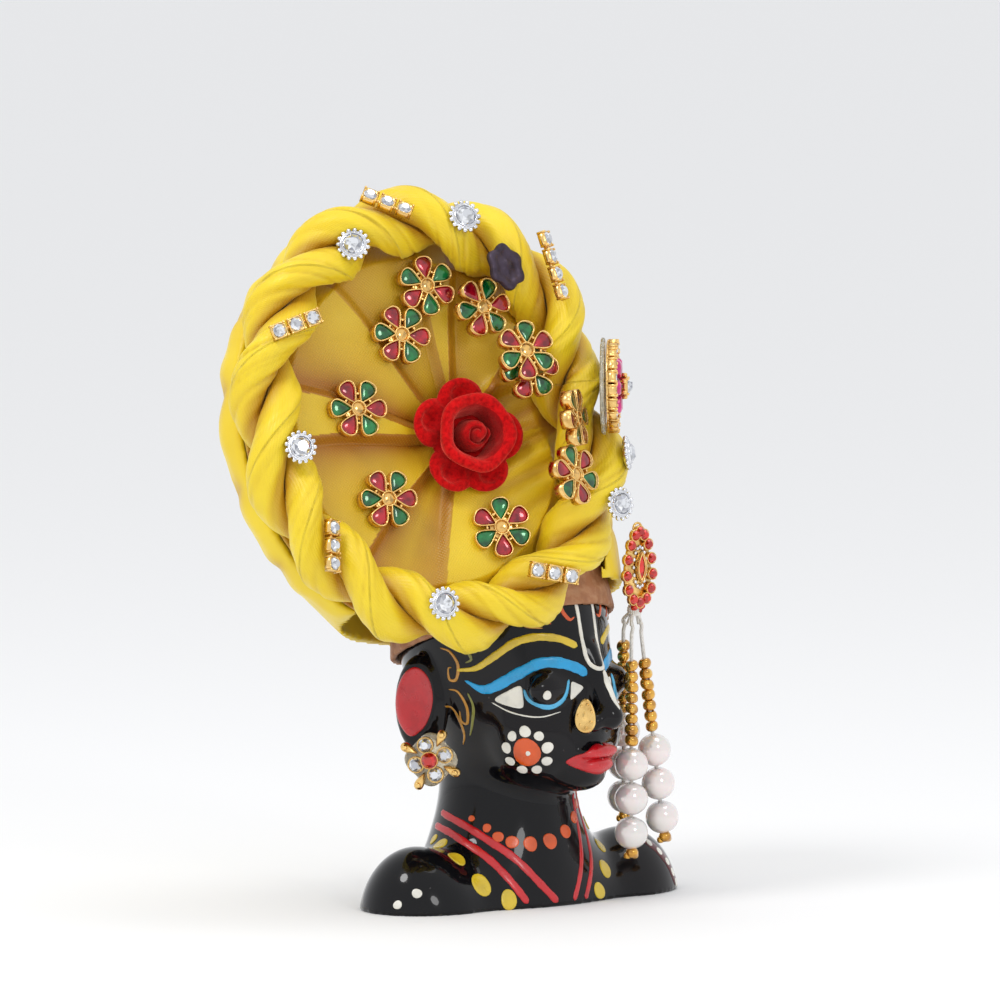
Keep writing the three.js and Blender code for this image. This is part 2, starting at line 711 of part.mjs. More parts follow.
for (const [word, strand] of Object.entries(STRANDS)) {
  const head = new THREE.Vector3(...strand.at, TASSEL_SPREAD_AT);
  const foot = new THREE.Vector3(...strand.foot, strand.end);
  const up = head.clone().sub(foot).normalize();
  const length = (TASSEL_TOP - strand.end) / up.z;
  const strandGroup = new THREE.Group();
  strandGroup.position.copy(foot);
  strandGroup.quaternion.setFromUnitVectors(new THREE.Vector3(0, 0, 1), up);
  group.add(strandGroup);
  add(`strand_${word}_thread`, threadGeometry(length), THREAD_WHITE, strandGroup);
  const pearlPitch = 2 * PEARL.radius * Math.cos(Math.asin(PEARL.bore / PEARL.radius)) + GAP;
  for (let i = 0; i < 3; i++) {
    const pearl = add(`strand_${word}_pearl_${i + 1}`, pearlGeometry(), PEARL_COAT, strandGroup);
    pearl.position.z = END_BEAD + GAP + (i + 0.5) * pearlPitch;
  }
  const seeds = add(`strand_${word}_seed_beads`, seedColumn(strand.seeds), AMBER, strandGroup);
  seeds.position.z = END_BEAD + GAP + 3 * pearlPitch + GAP;
}

export default group;
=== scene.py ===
import math

import bmesh
import bpy
import numpy as np
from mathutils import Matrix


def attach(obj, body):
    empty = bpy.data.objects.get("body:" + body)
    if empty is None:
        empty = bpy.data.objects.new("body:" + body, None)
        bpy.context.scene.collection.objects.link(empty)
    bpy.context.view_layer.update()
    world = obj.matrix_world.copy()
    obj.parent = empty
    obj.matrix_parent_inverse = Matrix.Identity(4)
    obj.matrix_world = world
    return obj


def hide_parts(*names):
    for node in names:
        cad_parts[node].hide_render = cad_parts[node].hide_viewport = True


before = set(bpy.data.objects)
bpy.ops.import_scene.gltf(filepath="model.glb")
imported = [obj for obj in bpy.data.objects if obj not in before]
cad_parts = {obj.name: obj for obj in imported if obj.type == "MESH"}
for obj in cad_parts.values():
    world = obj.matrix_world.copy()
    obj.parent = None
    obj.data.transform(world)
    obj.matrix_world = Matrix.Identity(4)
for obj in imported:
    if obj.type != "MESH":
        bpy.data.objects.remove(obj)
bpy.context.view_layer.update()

import openvdb
from mathutils import Vector

# A black lacquered doll's head and shoulders in a satin turban.
# Lengths are millimetres until a mesh is made.
MM = 0.001
FINE = 1.0
TAU = 2 * math.pi
rng = np.random.default_rng(11)


def unit(v):
    v = np.asarray(v, float)
    return v / max(np.linalg.norm(v), 1e-12)


def smooth(t):
    t = np.clip(t, 0, 1)
    return t * t * (3 - 2 * t)


# ---------------------------------------------------------------- camera, floor and light

VIEW_TURN, VIEW_RISE = math.radians(-38), math.radians(6)
TOWARD = np.array(
    [
        math.sin(VIEW_TURN) * math.cos(VIEW_RISE),
        -math.cos(VIEW_TURN) * math.cos(VIEW_RISE),
        math.sin(VIEW_RISE),
    ]
)
AIM = np.array([-8.8, -9.0, 72.2])
LENS, SENSOR, ACROSS = 500.0, 36.0, 176.4  # lens and sensor in mm, and the width seen at the object
SCENE = bpy.context.scene


def make_camera():
    data = bpy.data.cameras.new("camera")
    data.lens = LENS
    data.sensor_width = SENSOR
    data.clip_start = 0.01
    camera = bpy.data.objects.new("camera", data)
    SCENE.collection.objects.link(camera)
    place = AIM + TOWARD * ACROSS * LENS / SENSOR
    camera.location = Vector(place * MM)
    camera.rotation_mode = "QUATERNION"
    camera.rotation_quaternion = Vector(-TOWARD).to_track_quat("-Z", "Y")
    SCENE.camera = camera


def area_light(name, azimuth, rise, far, size, power, colour=(1, 1, 1)):
    data = bpy.data.lights.new(name, "AREA")
    data.shape = "DISK"
    data.size = size
    data.energy = power
    data.color = colour
    light = bpy.data.objects.new(name, data)
    a, e = math.radians(azimuth), math.radians(rise)
    back = Vector((math.sin(a) * math.cos(e), -math.cos(a) * math.cos(e), math.sin(e)))
    light.location = Vector((0, 0, 0.07)) + back * far
    light.rotation_mode = "QUATERNION"
    light.rotation_quaternion = (-back).to_track_quat("-Z", "Y")
    SCENE.collection.objects.link(light)


def make_studio():
    bpy.ops.mesh.primitive_plane_add(size=16, location=(0, 0, 0))
    floor = bpy.context.object
    floor.name = "floor"
    pale = bpy.data.materials.new("floor")
    pale.use_nodes = True
    shader = pale.node_tree.nodes["Principled BSDF"]
    shader.inputs["Base Color"].default_value = (0.9, 0.9, 0.9, 1)
    shader.inputs["Roughness"].default_value = 0.9
    floor.data.materials.append(pale)
    world = bpy.data.worlds.new("studio")
    world.use_nodes = True
    world.node_tree.nodes["Background"].inputs["Color"].default_value = (0.97, 0.98, 1, 1)
    world.node_tree.nodes["Background"].inputs["Strength"].default_value = 0.9
    SCENE.world = world
    area_light("key", -80, 50, 0.6, 0.16, 1.0)
    area_light("front", -8, 24, 0.8, 0.16, 0.55)
    area_light("top", 40, 72, 0.6, 0.3, 0.4)
    SCENE.view_settings.view_transform = "Standard"


make_camera()
make_studio()

# ---------------------------------------------------------------- materials


class Look:
    """A material's node tree, with short calls for what the finishes here are made of."""

    def __init__(self, name, colour, rough, metal=0.0, **inputs):
        self.mat = bpy.data.materials.new(name)
        self.mat.use_nodes = True
        self.tree = self.mat.node_tree
        self.shader = self.tree.nodes["Principled BSDF"]
        self.set("Base Color", (*colour, 1))
        self.set("Roughness", rough)
        self.set("Metallic", metal)
        for key, value in inputs.items():
            self.set(key.replace("_", " "), value)
        self.height = None
        self.colour = self.constant(colour)

    def set(self, name, value):
        self.shader.inputs[name].default_value = value

    def constant(self, colour):
        node = self.tree.nodes.new("ShaderNodeRGB")
        node.outputs[0].default_value = (*colour, 1)
        return node.outputs[0]

    def node(self, kind, **settings):
        node = self.tree.nodes.new("ShaderNode" + kind)
        for key, value in settings.items():
            if hasattr(node, key):
                setattr(node, key, value)
            else:
                node.inputs[key.replace("_", " ")].default_value = value
        return node

    def link(self, a, b):
        self.tree.links.new(a, b)

    def coords(self, kind="Object", scale=1.0, turn=0.0):
        source = self.node("TexCoord").outputs[kind]
        mapping = self.node("Mapping")
        mapping.inputs["Scale"].default_value = (scale,) * 3 if np.isscalar(scale) else scale
        mapping.inputs["Rotation"].default_value = (0, 0, turn)
        self.link(source, mapping.inputs["Vector"])
        return mapping.outputs["Vector"]

    def noise(self, size, detail=3.0, kind="Object", stretch=(1, 1, 1)):
        """Noise with features about this many millimetres across, from 0 to 1."""
        per = (1 / (size * MM) if kind == "Object" else 1 / size) * 0.5
        node = self.node("TexNoise", Detail=detail, Scale=1.0)
        self.link(self.coords(kind, tuple(per * s for s in stretch)), node.inputs["Vector"])
        return node.outputs["Fac"]

    def waves(self, pitch, turn, kind="UV"):
        """Straight bands this many millimetres apart, from 0 to 1."""
        per = (1 / (pitch * MM) if kind == "Object" else 1 / pitch) * TAU / 20
        node = self.node("TexWave", wave_type="BANDS", bands_direction="X", Scale=1.0)
        self.link(self.coords(kind, per, turn), node.inputs["Vector"])
        return node.outputs["Fac"]

    def attribute(self, name="shade"):
        return self.node("Attribute", attribute_name=name).outputs["Fac"]

    def math(self, operation, a, b):
        node = self.node("Math", operation=operation)
        for slot, value in zip(node.inputs, (a, b)):
            if isinstance(value, (int, float)):
                slot.default_value = value
            else:
                self.link(value, slot)
        return node.outputs[0]

    def spread(self, value, low, high, to_low=0.0, to_high=1.0):
        node = self.node("MapRange", clamp=True)
        self.link(value, node.inputs["Value"])
        for key, number in (("From Min", low), ("From Max", high), ("To Min", to_low), ("To Max", to_high)):
            node.inputs[key].default_value = number
        return node.outputs["Result"]

    def tint(self, fac, colour, low=0.3, high=0.7):
        """Turns the colour towards another where fac is high."""
        mix = self.node("Mix", data_type="RGBA")
        self.link(self.spread(fac, low, high), mix.inputs["Factor"])
        self.link(self.colour, mix.inputs["A"])
        mix.inputs["B"].default_value = (*colour, 1)
        self.colour = mix.outputs["Result"]
        return self

    def raise_by(self, fac, depth):
        """Adds relief of some depth in millimetres."""
        bump = self.node("Bump", Strength=1.0, Distance=depth * MM)
        self.link(fac, bump.inputs["Height"])
        if self.height is not None:
            self.link(self.height, bump.inputs["Normal"])
        self.height = bump.outputs["Normal"]
        return self

    def rough(self, fac, low, high):
        self.link(self.spread(fac, 0.3, 0.7, low, high), self.shader.inputs["Roughness"])
        return self

    def done(self):
        self.link(self.colour, self.shader.inputs["Base Color"])
        if self.height is not None:
            self.link(self.height, self.shader.inputs["Normal"])
        return self.mat


def satin_look():
    look = Look("satin", (0.86, 0.64, 0.012), 0.42, Sheen_Weight=0.25, Sheen_Roughness=0.35)
    look.set("Sheen Tint", (1.0, 0.93, 0.45, 1))
    look.set("Specular IOR Level", 0.55)
    look.tint(look.noise(6, 2), (0.78, 0.54, 0.01), 0.35, 0.8)
    # Painted shade: the shade attribute turns the satin orange-brown under pleat edges, in creases, hollows
    # and fold valleys.
    look.tint(look.attribute(), (0.40, 0.15, 0.003), 0.0, 1.0)
    weft, warp = look.waves(0.42, math.radians(38)), look.waves(0.42, math.radians(-52))
    weave = look.math("MULTIPLY", weft, warp)
    look.tint(weave, (0.95, 0.76, 0.05), 0.55, 2.6)
    look.raise_by(weave, 0.035)
    look.raise_by(look.noise(2.2, 2), 0.12)
    look.rough(look.noise(3, 3), 0.36, 0.5)
    return look.done()


def lacquer_look():
    look = Look("lacquer", (0.003, 0.003, 0.004), 0.2, Coat_Weight=1.0, Coat_Roughness=0.03, Coat_IOR=1.32)
    look.set("Specular IOR Level", 0.05)
    look.tint(look.noise(9, 4), (0.007, 0.005, 0.006), 0.45, 0.75)
    look.tint(look.noise(0.5, 1), (0.05, 0.045, 0.045), 0.79, 0.82)
    look.raise_by(look.noise(5, 2), 0.09)
    look.raise_by(look.noise(0.9, 2), 0.012)
    look.rough(look.noise(2, 4), 0.12, 0.24)
    return look.done()


def paint_look(name, colour, dark=0.72, rough=0.3):
    look = Look(name, colour, rough, Coat_Weight=0.5, Coat_Roughness=0.12)
    look.tint(look.noise(1.6, 3), tuple(c * dark for c in colour), 0.45, 0.8)
    look.raise_by(look.noise(0.7, 3, stretch=(1, 1, 2.4)), 0.05)
    look.rough(look.noise(1, 3), rough * 0.8, rough * 1.3)
    return look.done()


def metal_look(name, colour, worn, rough=0.2):
    look = Look(name, colour, rough, 1.0)
    look.tint(look.noise(1.2, 4), worn, 0.5, 0.8)
    look.raise_by(look.noise(0.5, 4), 0.02)
    look.rough(look.noise(0.8, 4), rough * 0.7, rough * 1.8)
    return look.done()


def enamel_look(name, colour, deep):
    look = Look(name, colour, 0.12, 0.35, Coat_Weight=1.0, Coat_Roughness=0.03)
    look.tint(look.noise(0.9, 3, stretch=(1, 1, 1)), deep, 0.35, 0.65)
    look.raise_by(look.noise(0.6, 2), 0.03)
    return look.done()


def stone_look(name, colour, deep, metal=0.75):
    look = Look(name, colour, 0.05, metal, Coat_Weight=1.0, Coat_Roughness=0.02)
    # Painted reflections: each facet's shade turns it towards the deep colour, so facets read light and
    # dark as if reflecting the room.
    look.tint(look.attribute(), deep, 0.0, 1.0)
    look.tint(look.noise(0.5, 2), tuple(0.45 * c for c in colour), 0.52, 0.66)
    return look.done()


def flock_look():
    look = Look("flock", (0.62, 0.004, 0.006), 0.95, Sheen_Weight=0.9, Sheen_Roughness=0.5)
    look.set("Sheen Tint", (1.0, 0.16, 0.12, 1))
    look.set("Specular IOR Level", 0.1)
    look.tint(look.noise(0.35, 4), (0.33, 0.0, 0.002), 0.4, 0.7)
    # Painted shade: the shade attribute darkens the flock in the rose's folds, inside its cup and round the
    # inner petals' foot.
    look.tint(look.attribute(), (0.2, 0.0, 0.002), 0.0, 1.0)
    look.raise_by(look.noise(0.16, 4), 0.12)
    return look.done()


def card_look():
    look = Look("card", (0.36, 0.15, 0.065), 0.7)
    look.tint(look.noise(0.8, 5), (0.5, 0.27, 0.14), 0.45, 0.75)
    look.tint(look.noise(3, 3), (0.24, 0.09, 0.035), 0.5, 0.8)
    look.raise_by(look.noise(0.5, 5), 0.06)
    look.rough(look.noise(1, 4), 0.5, 0.8)
    return look.done()


def pearl_look():
    look = Look("pearl", (0.80, 0.77, 0.74), 0.16, 0.3, Coat_Weight=1.0, Coat_Roughness=0.02, Coat_IOR=1.7)
    look.set("Sheen Weight", 0.3)
    look.set("Subsurface Weight", 0.15)
    look.set("Subsurface Scale", 0.001)
    look.tint(look.noise(4, 2), (0.9, 0.78, 0.76), 0.4, 0.7)
    look.tint(look.noise(3, 2), (0.74, 0.78, 0.82), 0.62, 0.85)
    look.raise_by(look.noise(1.2, 3), 0.012)
    return look.done()


def amber_look():
    look = Look("amber", (0.80, 0.42, 0.04), 0.08, 0.75, Coat_Weight=1.0, Coat_Roughness=0.03)
    look.tint(look.noise(0.9, 2), (0.42, 0.17, 0.01), 0.45, 0.7)
    look.tint(look.noise(0.7, 2), (0.95, 0.66, 0.2), 0.6, 0.8)
    look.raise_by(look.noise(0.6, 2), 0.02)
    return look.done()


def plastic_look():
    look = Look("clear_plastic", (0.80, 0.72, 0.52), 0.12, Coat_Weight=0.6)
    look.set("Transmission Weight", 0.75)
    look.tint(look.noise(1.5, 3), (0.9, 0.85, 0.7), 0.4, 0.7)
    look.raise_by(look.noise(1.0, 3), 0.06)
    return look.done()


def thread_look():
    look = Look("thread", (0.86, 0.83, 0.78), 0.8, Sheen_Weight=0.4)
    look.tint(look.noise(0.4, 4), (0.66, 0.62, 0.56), 0.4, 0.7)
    look.raise_by(look.waves(0.35, math.radians(35)), 0.08)
    return look.done()


SATIN = satin_look()
LACQUER = lacquer_look()
GOLD = metal_look("gold", (0.90, 0.60, 0.22), (0.55, 0.30, 0.08))
SILVER = metal_look("silver", (0.80, 0.81, 0.84), (0.45, 0.45, 0.48), 0.16)
DARK = metal_look("dark_metal", (0.085, 0.065, 0.09), (0.04, 0.03, 0.04), 0.42)
GREEN = enamel_look("green_enamel", (0.004, 0.22, 0.05), (0.0, 0.055, 0.012))
RED = enamel_look("red_enamel", (0.52, 0.006, 0.02), (0.16, 0.0, 0.006))
PINK = enamel_look("pink_enamel", (0.75, 0.012, 0.25), (0.5, 0.004, 0.14))
CLEAR = stone_look("clear_stone", (0.95, 0.97, 1.0), (0.13, 0.14, 0.19))
RUBY = stone_look("red_stone", (0.85, 0.03, 0.02), (0.28, 0.0, 0.0), 0.45)
HONEY = stone_look("honey_stone", (0.85, 0.5, 0.12), (0.4, 0.18, 0.02), 0.5)
FLOCK = flock_look()
CARD = card_look()
PEARL = pearl_look()
AMBER = amber_look()
PLASTIC = plastic_look()
THREAD = thread_look()
PAINTS = {
    "red": paint_look("paint_red", (0.58, 0.006, 0.012)),
    "yellow": paint_look("paint_yellow", (0.70, 0.50, 0.02)),
    "blue": paint_look("paint_blue", (0.0, 0.34, 0.70)),
    "pale_blue": paint_look("paint_pale_blue", (0.08, 0.46, 0.76)),
    "white": paint_look("paint_white", (0.82, 0.80, 0.72)),
    "orange": paint_look("paint_orange", (0.72, 0.09, 0.004)),
    "gold": paint_look("paint_gold", (0.52, 0.23, 0.012)),
    "olive": paint_look("paint_olive", (0.22, 0.22, 0.03)),
    "black": paint_look("paint_black", (0.004, 0.004, 0.006)),
    "maroon": paint_look("paint_maroon", (0.09, 0.004, 0.008)),
}

# ---------------------------------------------------------------- mesh building


class Form:
    """Gathers faces, each with a material number, and a painted shade value and a cloth position for every
    vertex.
    """

    def __init__(self):
        self.verts, self.faces, self.mats, self.flats, self.shades, self.uvs = [], [], [], [], [], []
        self.count = 0

    def add(self, verts, faces, mat=0, shade=0.0, uv=None, axes=None, flat=False):
        """axes is (origin, x, y, z) of the place that the vertices are given in."""
        verts = np.asarray(verts, float).reshape(-1, 3)
        uv = verts[:, :2] if uv is None else np.asarray(uv, float).reshape(-1, 2)
        if axes is not None:
            verts = axes[0] + verts @ np.array(axes[1:])
        self.verts.append(verts)
        self.uvs.append(uv)
        self.shades.append(np.broadcast_to(np.asarray(shade, float), (len(verts),)))
        self.faces += [tuple(int(i) + self.count for i in f) for f in faces]
        self.mats += [mat] * len(faces)
        self.flats += [flat] * len(faces)
        self.count += len(verts)
        return self

    def make(self, name, materials, body, slot, *nodes):
        mesh = bpy.data.meshes.new(name)
        verts = np.concatenate(self.verts)
        mesh.from_pydata((verts * MM).tolist(), [], self.faces)
        mesh.polygons.foreach_set("material_index", self.mats)
        mesh.polygons.foreach_set("use_smooth", [not f for f in self.flats])
        # The painted shade per vertex, which the materials read to darken shaded places.
        shade = mesh.attributes.new("shade", "FLOAT", "POINT")
        shade.data.foreach_set("value", np.concatenate(self.shades).astype(np.float32))
        layer = mesh.uv_layers.new(name="UVMap")
        corners = np.zeros(len(mesh.loops), int)
        mesh.loops.foreach_get("vertex_index", corners)
        layer.data.foreach_set("uv", np.concatenate(self.uvs)[corners].astype(np.float32).ravel())
        edit = bmesh.new()
        edit.from_mesh(mesh)
        bmesh.ops.recalc_face_normals(edit, faces=edit.faces)
        edit.to_mesh(mesh)
        edit.free()
        for material in materials:
            mesh.materials.append(material)
        obj = bpy.data.objects.new(name, mesh)
        SCENE.collection.objects.link(obj)
        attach(obj, body)
        if nodes:
            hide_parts(*nodes)
        return obj


def grid(rows, cols, wrap_rows=False, wrap_cols=True):
    r = np.arange(rows if wrap_rows else rows - 1)[:, None]
    c = np.arange(cols if wrap_cols else cols - 1)[None, :]
    r2, c2 = (r + 1) % rows, (c + 1) % cols
    corners = [r * cols + c, r * cols + c2, r2 * cols + c2, r2 * cols + c]
    return np.stack(np.broadcast_arrays(*corners), -1).reshape(-1, 4).tolist()


def loft(rows, wrap_rows=False, caps=True):
    """Vertices and faces over rows of equal length, each row a closed loop."""
    rows = np.asarray(rows, float)
    count, across = rows.shape[:2]
    faces = grid(count, across, wrap_rows)
    if caps and not wrap_rows:
        faces.append(tuple(range(across)))
        faces.append(tuple(range((count - 1) * across, count * across)))
    return rows.reshape(-1, 3), faces


def revolve(profile, sides=24, squash=(1, 1)):
    """A closed solid turned about Z from (radius, height) pairs."""
    angle = np.arange(sides) / sides * TAU
    rows = [
        np.stack(
            [
                max(r, 0.004) * np.cos(angle) * squash[0], max(r, 0.004) * np.sin(angle) * squash[1],
                np.full(sides, z)
            ],
            1
        )
        for r, z in profile
    ]
    return loft(rows)


def rounded_profile(radius, low, high, edge, steps=4):
    """A disc's (radius, height) pairs from its under middle to its top middle, its top edge rounded."""
    turn = [math.radians(90 * i / steps) for i in range(steps + 1)]
    arc = [(radius - edge + edge * math.cos(a), high - edge + edge * math.sin(a)) for a in turn]
    return [(0, low), (radius, low), *arc, (0, high)]


def frames_along(points, closed=False):
    """Unit tangents and two normals carried along a line of points."""
    points = np.asarray(points, float)
    if closed:
        tangents = np.roll(points, -1, 0) - np.roll(points, 1, 0)
    else:
        tangents = np.gradient(points, axis=0)
    tangents /= np.linalg.norm(tangents, axis=1)[:, None]
    side = unit(np.cross(tangents[0], [0.31, 0.2, 0.93]))
    sides = []
    for t in tangents:
        side = unit(side - t * side.dot(t))
        sides.append(side)
    sides = np.array(sides)
    return tangents, sides, np.cross(tangents, sides)


def tube(points, radius, sides=10, closed=False):
    points = np.asarray(points, float)
    _, a, b = frames_along(points, closed)
    radii = np.broadcast_to(np.asarray(radius, float), (len(points),))
    angle = np.arange(sides) / sides * TAU
    ring = a[:, None] * np.cos(angle)[None, :, None] + b[:, None] * np.sin(angle)[None, :, None]
    return loft(points[:, None] + ring * radii[:, None, None], closed)


def spline(points, per=8, closed=False):
    """A Catmull-Rom line through the points, of any number of columns."""
    p = np.asarray(points, float)
    n = len(p)
    padded = np.concatenate([p[-1:], p, p[:2]]) if closed else np.concatenate(
        [p[:1] * 2 - p[1:2], p, p[-1:] * 2 - p[-2:-1]]
    )
    t = np.arange(per)[:, None] / per
    line = []
    for i in range(n if closed else n - 1):
        a, b, c, d = padded[i : i + 4]
        line.append(
            0.5
            * (2 * b + (c - a) * t + (2 * a - 5 * b + 4 * c - d) * t**2 + (3 * b - a - 3 * c + d) * t**3)
        )
    if not closed:
        line.append(p[-1:])
    return np.concatenate(line)


_gems = {}


def gem(sides=8, table=0.52, high=1.0):
    """A cut stone of radius 1 on Z = 0: a table, a ring of crown facets and a girdle."""
    key = (sides, table, high)
    if key not in _gems:
        edit = bmesh.new()
        for radius, z, turn, count in (
            (table, high, 0.5, sides),
            (0.84, high * 0.62, 0, sides),
            (1.0, high * 0.25, 0.25, sides * 2),
            (0.98, 0, 0.25, sides * 2),
        ):
            for i in range(count):
                a = TAU * (i + turn) / count
                edit.verts.new((radius * math.cos(a), radius * math.sin(a), z))
        bmesh.ops.convex_hull(edit, input=edit.verts)
        bmesh.ops.dissolve_limit(edit, angle_limit=0.02, verts=edit.verts, edges=edit.edges)
        edit.verts.index_update()
        verts = np.array([v.co for v in edit.verts])
        faces = [[v.index for v in f.verts] for f in edit.faces]
        edit.free()
        _gems[key] = (verts, faces)
    return _gems[key]


def add_gem(form, axes, radius, height, mat, squash=1.0, sides=8):
    """A faceted stone, each facet its own faces with a random painted shade of its own, standing in for the
    light and dark its facets reflect.
    """
    verts, faces = gem(sides)
    shaped = verts * np.array([radius * squash, radius, height])
    for face in faces:
        # A random painted shade per facet, standing in for reflections.
        form.add(shaped[face], [tuple(range(len(face)))], mat, rng.uniform(0, 0.85), axes=axes, flat=True)


def sdf_mesh(low, high, step, distance):
    """The surface where distance(x, y, z) is zero, as vertices and faces."""
    low, high = np.array(low, float), np.array(high, float)
    counts = np.ceil((high - low) / step).astype(int) + 1
    axes = [low[i] + np.arange(counts[i]) * step for i in range(3)]
    x, y, z = np.meshgrid(*axes, indexing="ij", sparse=True)
    values = np.broadcast_to(distance(x, y, z), counts).astype(np.float32)
    volume = openvdb.FloatGrid(background=3.0)
    volume.copyFromArray(np.ascontiguousarray(values))
    points, quads = volume.convertToQuads(isovalue=0.0)
    return np.asarray(points, float) * step + low, [tuple(int(i) for i in q) for q in quads]


def blob(x, y, z, centre, radii, turn=0.0):
    """Distance to an ellipsoid, near enough, turned about Z."""
    dx, dy, dz = x - centre[0], y - centre[1], z - centre[2]
    if turn:
        c, s = math.cos(turn), math.sin(turn)
        dx, dy = dx * c + dy * s, -dx * s + dy * c
    a = np.sqrt((dx / radii[0]) ** 2 + (dy / radii[1]) ** 2 + (dz / radii[2]) ** 2)
    b = np.sqrt((dx / radii[0] ** 2) ** 2 + (dy / radii[1] ** 2) ** 2 + (dz / radii[2] ** 2) ** 2)
    return a * (a - 1) / np.maximum(b, 1e-6)


def rod(x, y, z, a, b, ra, rb):
    """Distance to a round rod from a to b whose radius goes from ra to rb."""
    a, b = np.array(a, float), np.array(b, float)
    d = b - a
    t = ((x - a[0]) * d[0] + (y - a[1]) * d[1] + (z - a[2]) * d[2]) / d.dot(d)
    t = np.clip(t, 0, 1)
    px, py, pz = a[0] + t * d[0], a[1] + t * d[1], a[2] + t * d[2]
    return np.sqrt((x - px) ** 2 + (y - py) ** 2 + (z - pz) ** 2) - (ra + (rb - ra) * t)


def join(a, b, k):
    """Union of two distances with a fillet of about k."""
    h = np.clip(0.5 + 0.5 * (b - a) / k, 0, 1)
    return b * (1 - h) + a * h - k * h * (1 - h)


def carve(a, b, k):
    """What is left of a outside b, with a rounded edge."""
    return -join(-a, b, k)


# ---------------------------------------------------------------- CAD nodes as seats


def node_points(name):
    return np.array([v.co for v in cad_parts[name].data.vertices], float) / MM


def seat_of(name, toward):
    """(origin, x, y, z) of a flat CAD ornament: z its thin axis on the side of toward, x its long one."""
    p = node_points(name)
    middle = (p.min(0) + p.max(0)) / 2
    _, vectors = np.linalg.eigh(np.cov((p - p.mean(0)).T))
    z = vectors[:, 0]
    if z.dot(toward) < 0:
        z = -z
    x = vectors[:, 2]
    y = np.cross(z, x)
    along = (p - middle) @ np.array([x, y, z]).T
    centre = (along.min(0) + along.max(0)) / 2
    origin = middle + centre @ np.array([x, y, z])
    return origin + z * ((along[:, 2] - centre[2]).min()), x, y, z


# ---------------------------------------------------------------- bust

HEAD_TURN = math.radians(12)
SKULL = ([0, 1, 47], [17.5, 19.5, 23])
FACE = ([0, -4.5, 37.5], [14, 16, 17])


def head_coords(x, y):
    c, s = math.cos(HEAD_TURN), math.sin(HEAD_TURN)
    return x * c + y * s, -x * s + y * c


def head_to_world(p):
    c, s = math.cos(HEAD_TURN), math.sin(HEAD_TURN)
    p = np.asarray(p, float)
    return np.stack([p[..., 0] * c - p[..., 1] * s, p[..., 0] * s + p[..., 1] * c, p[..., 2]], -1)


def bust_distance(wx, wy, wz):
    x, y = head_coords(wx, wy)
    z = wz + 0 * x
    side = np.abs(x)
    d = blob(x, y, z, *SKULL)
    d = join(d, blob(x, y, z, *FACE), 3)
    d = join(d, blob(x, y, z, [0, -8.5, 28.2], [12.4, 12.4, 8.2]), 2.5)
    d = join(d, blob(side, y, z, [6.8, -11.4, 31.6], [6.6, 7.0, 7]), 3)
    d = join(d, blob(x, y, z, [0, -16.4, 23.4], [5.0, 4.4, 3.1]), 2.2)
    d = carve(d, blob(side, y, z, [7.6, -23.7, 39.4], [6.0, 4.2, 4.2]), 2.0)
    d = join(d, blob(side, y, z, [7.2, -16.3, 39.2], [5.6, 2.7, 3.4]), 1.0)
    d = join(d, rod(x, y, z, [0, -18.8, 45.5], [0, -23.0, 35.2], 1.4, 2.1), 1.6)
    d = join(d, blob(x, y, z, [0, -23.3, 34.0], [2.4, 2.7, 2.4]), 1.0)
    d = join(d, blob(side, y, z, [2.7, -21.4, 33.2], [1.8, 2.6, 1.9]), 0.9)
    d = carve(d, blob(side, y, z, [1.5, -23.0, 31.3], [0.8, 1.2, 0.9]), 0.5)
    d = join(d, blob(x, y, z, [0, -20.4, 27.7], [4.7, 2.4, 1.35]), 0.9)
    d = join(d, blob(x, y, z, [0, -20.0, 25.3], [3.9, 2.4, 1.4]), 0.9)
    d = carve(d, blob(x, y, z, [0, -22.9, 26.6], [4.4, 1.6, 0.3]), 0.35)
    ear = blob(side, y, z, [17.4, 5.2, 35.6], [2.3, 5.0, 9.0], -0.35)
    bowl = blob(side, y, z, [20.0, 4.4, 37.0], [2.0, 3.3, 6.6], -0.35)
    d = join(d, carve(ear, bowl, 0.4), 0.8)
    chest = wx + 0 * d, wy + 0 * d, wz + 0 * d
    neck = rod(*chest, [0, 0.5, -5], [0, 0.2, 30], 13.2, 11.6)
    body = join(
        blob(*chest, [0, -1, -4], [20, 14, 20]), rod(*chest, [-19, -3, -3], [19, -3, -3], 11.5, 11.5), 4
    )
    arms = blob(np.abs(chest[0]), chest[1], chest[2], [23.4, -3.4, -1.5], [9.8, 9.6, 12.6])
    body = join(body, arms, 4)
    d = join(d, join(neck, body, 8), 3)
    return np.maximum(d, -chest[2])


def make_bust():
    step = 0.42 * FINE
    low, high = [-36, -31, -2.1], [36, 26, 72]
    verts, quads = sdf_mesh(low, high, step, bust_distance)
    verts[:, 2] = np.where(verts[:, 2] < 0.3 * step, 0, verts[:, 2])
    Form().add(verts, quads).make("bust_lacquered", [LACQUER], "bust", "lacquer", "bust")


make_bust()

# ---------------------------------------------------------------- painted marks


def bust_normal(p):
    step = 0.15
    slopes = [
        bust_distance(*(p + step * axis).T) - bust_distance(*(p - step * axis).T) for axis in np.eye(3)
    ]
    normal = np.stack(slopes, -1)
    return normal / np.maximum(np.linalg.norm(normal, axis=1), 1e-9)[:, None]


def settle(p):
    """Draws points near the bust onto its surface."""
    for _ in range(3):
        p = p - bust_normal(p) * (0.9 * bust_distance(*p.T))[:, None]
    return p


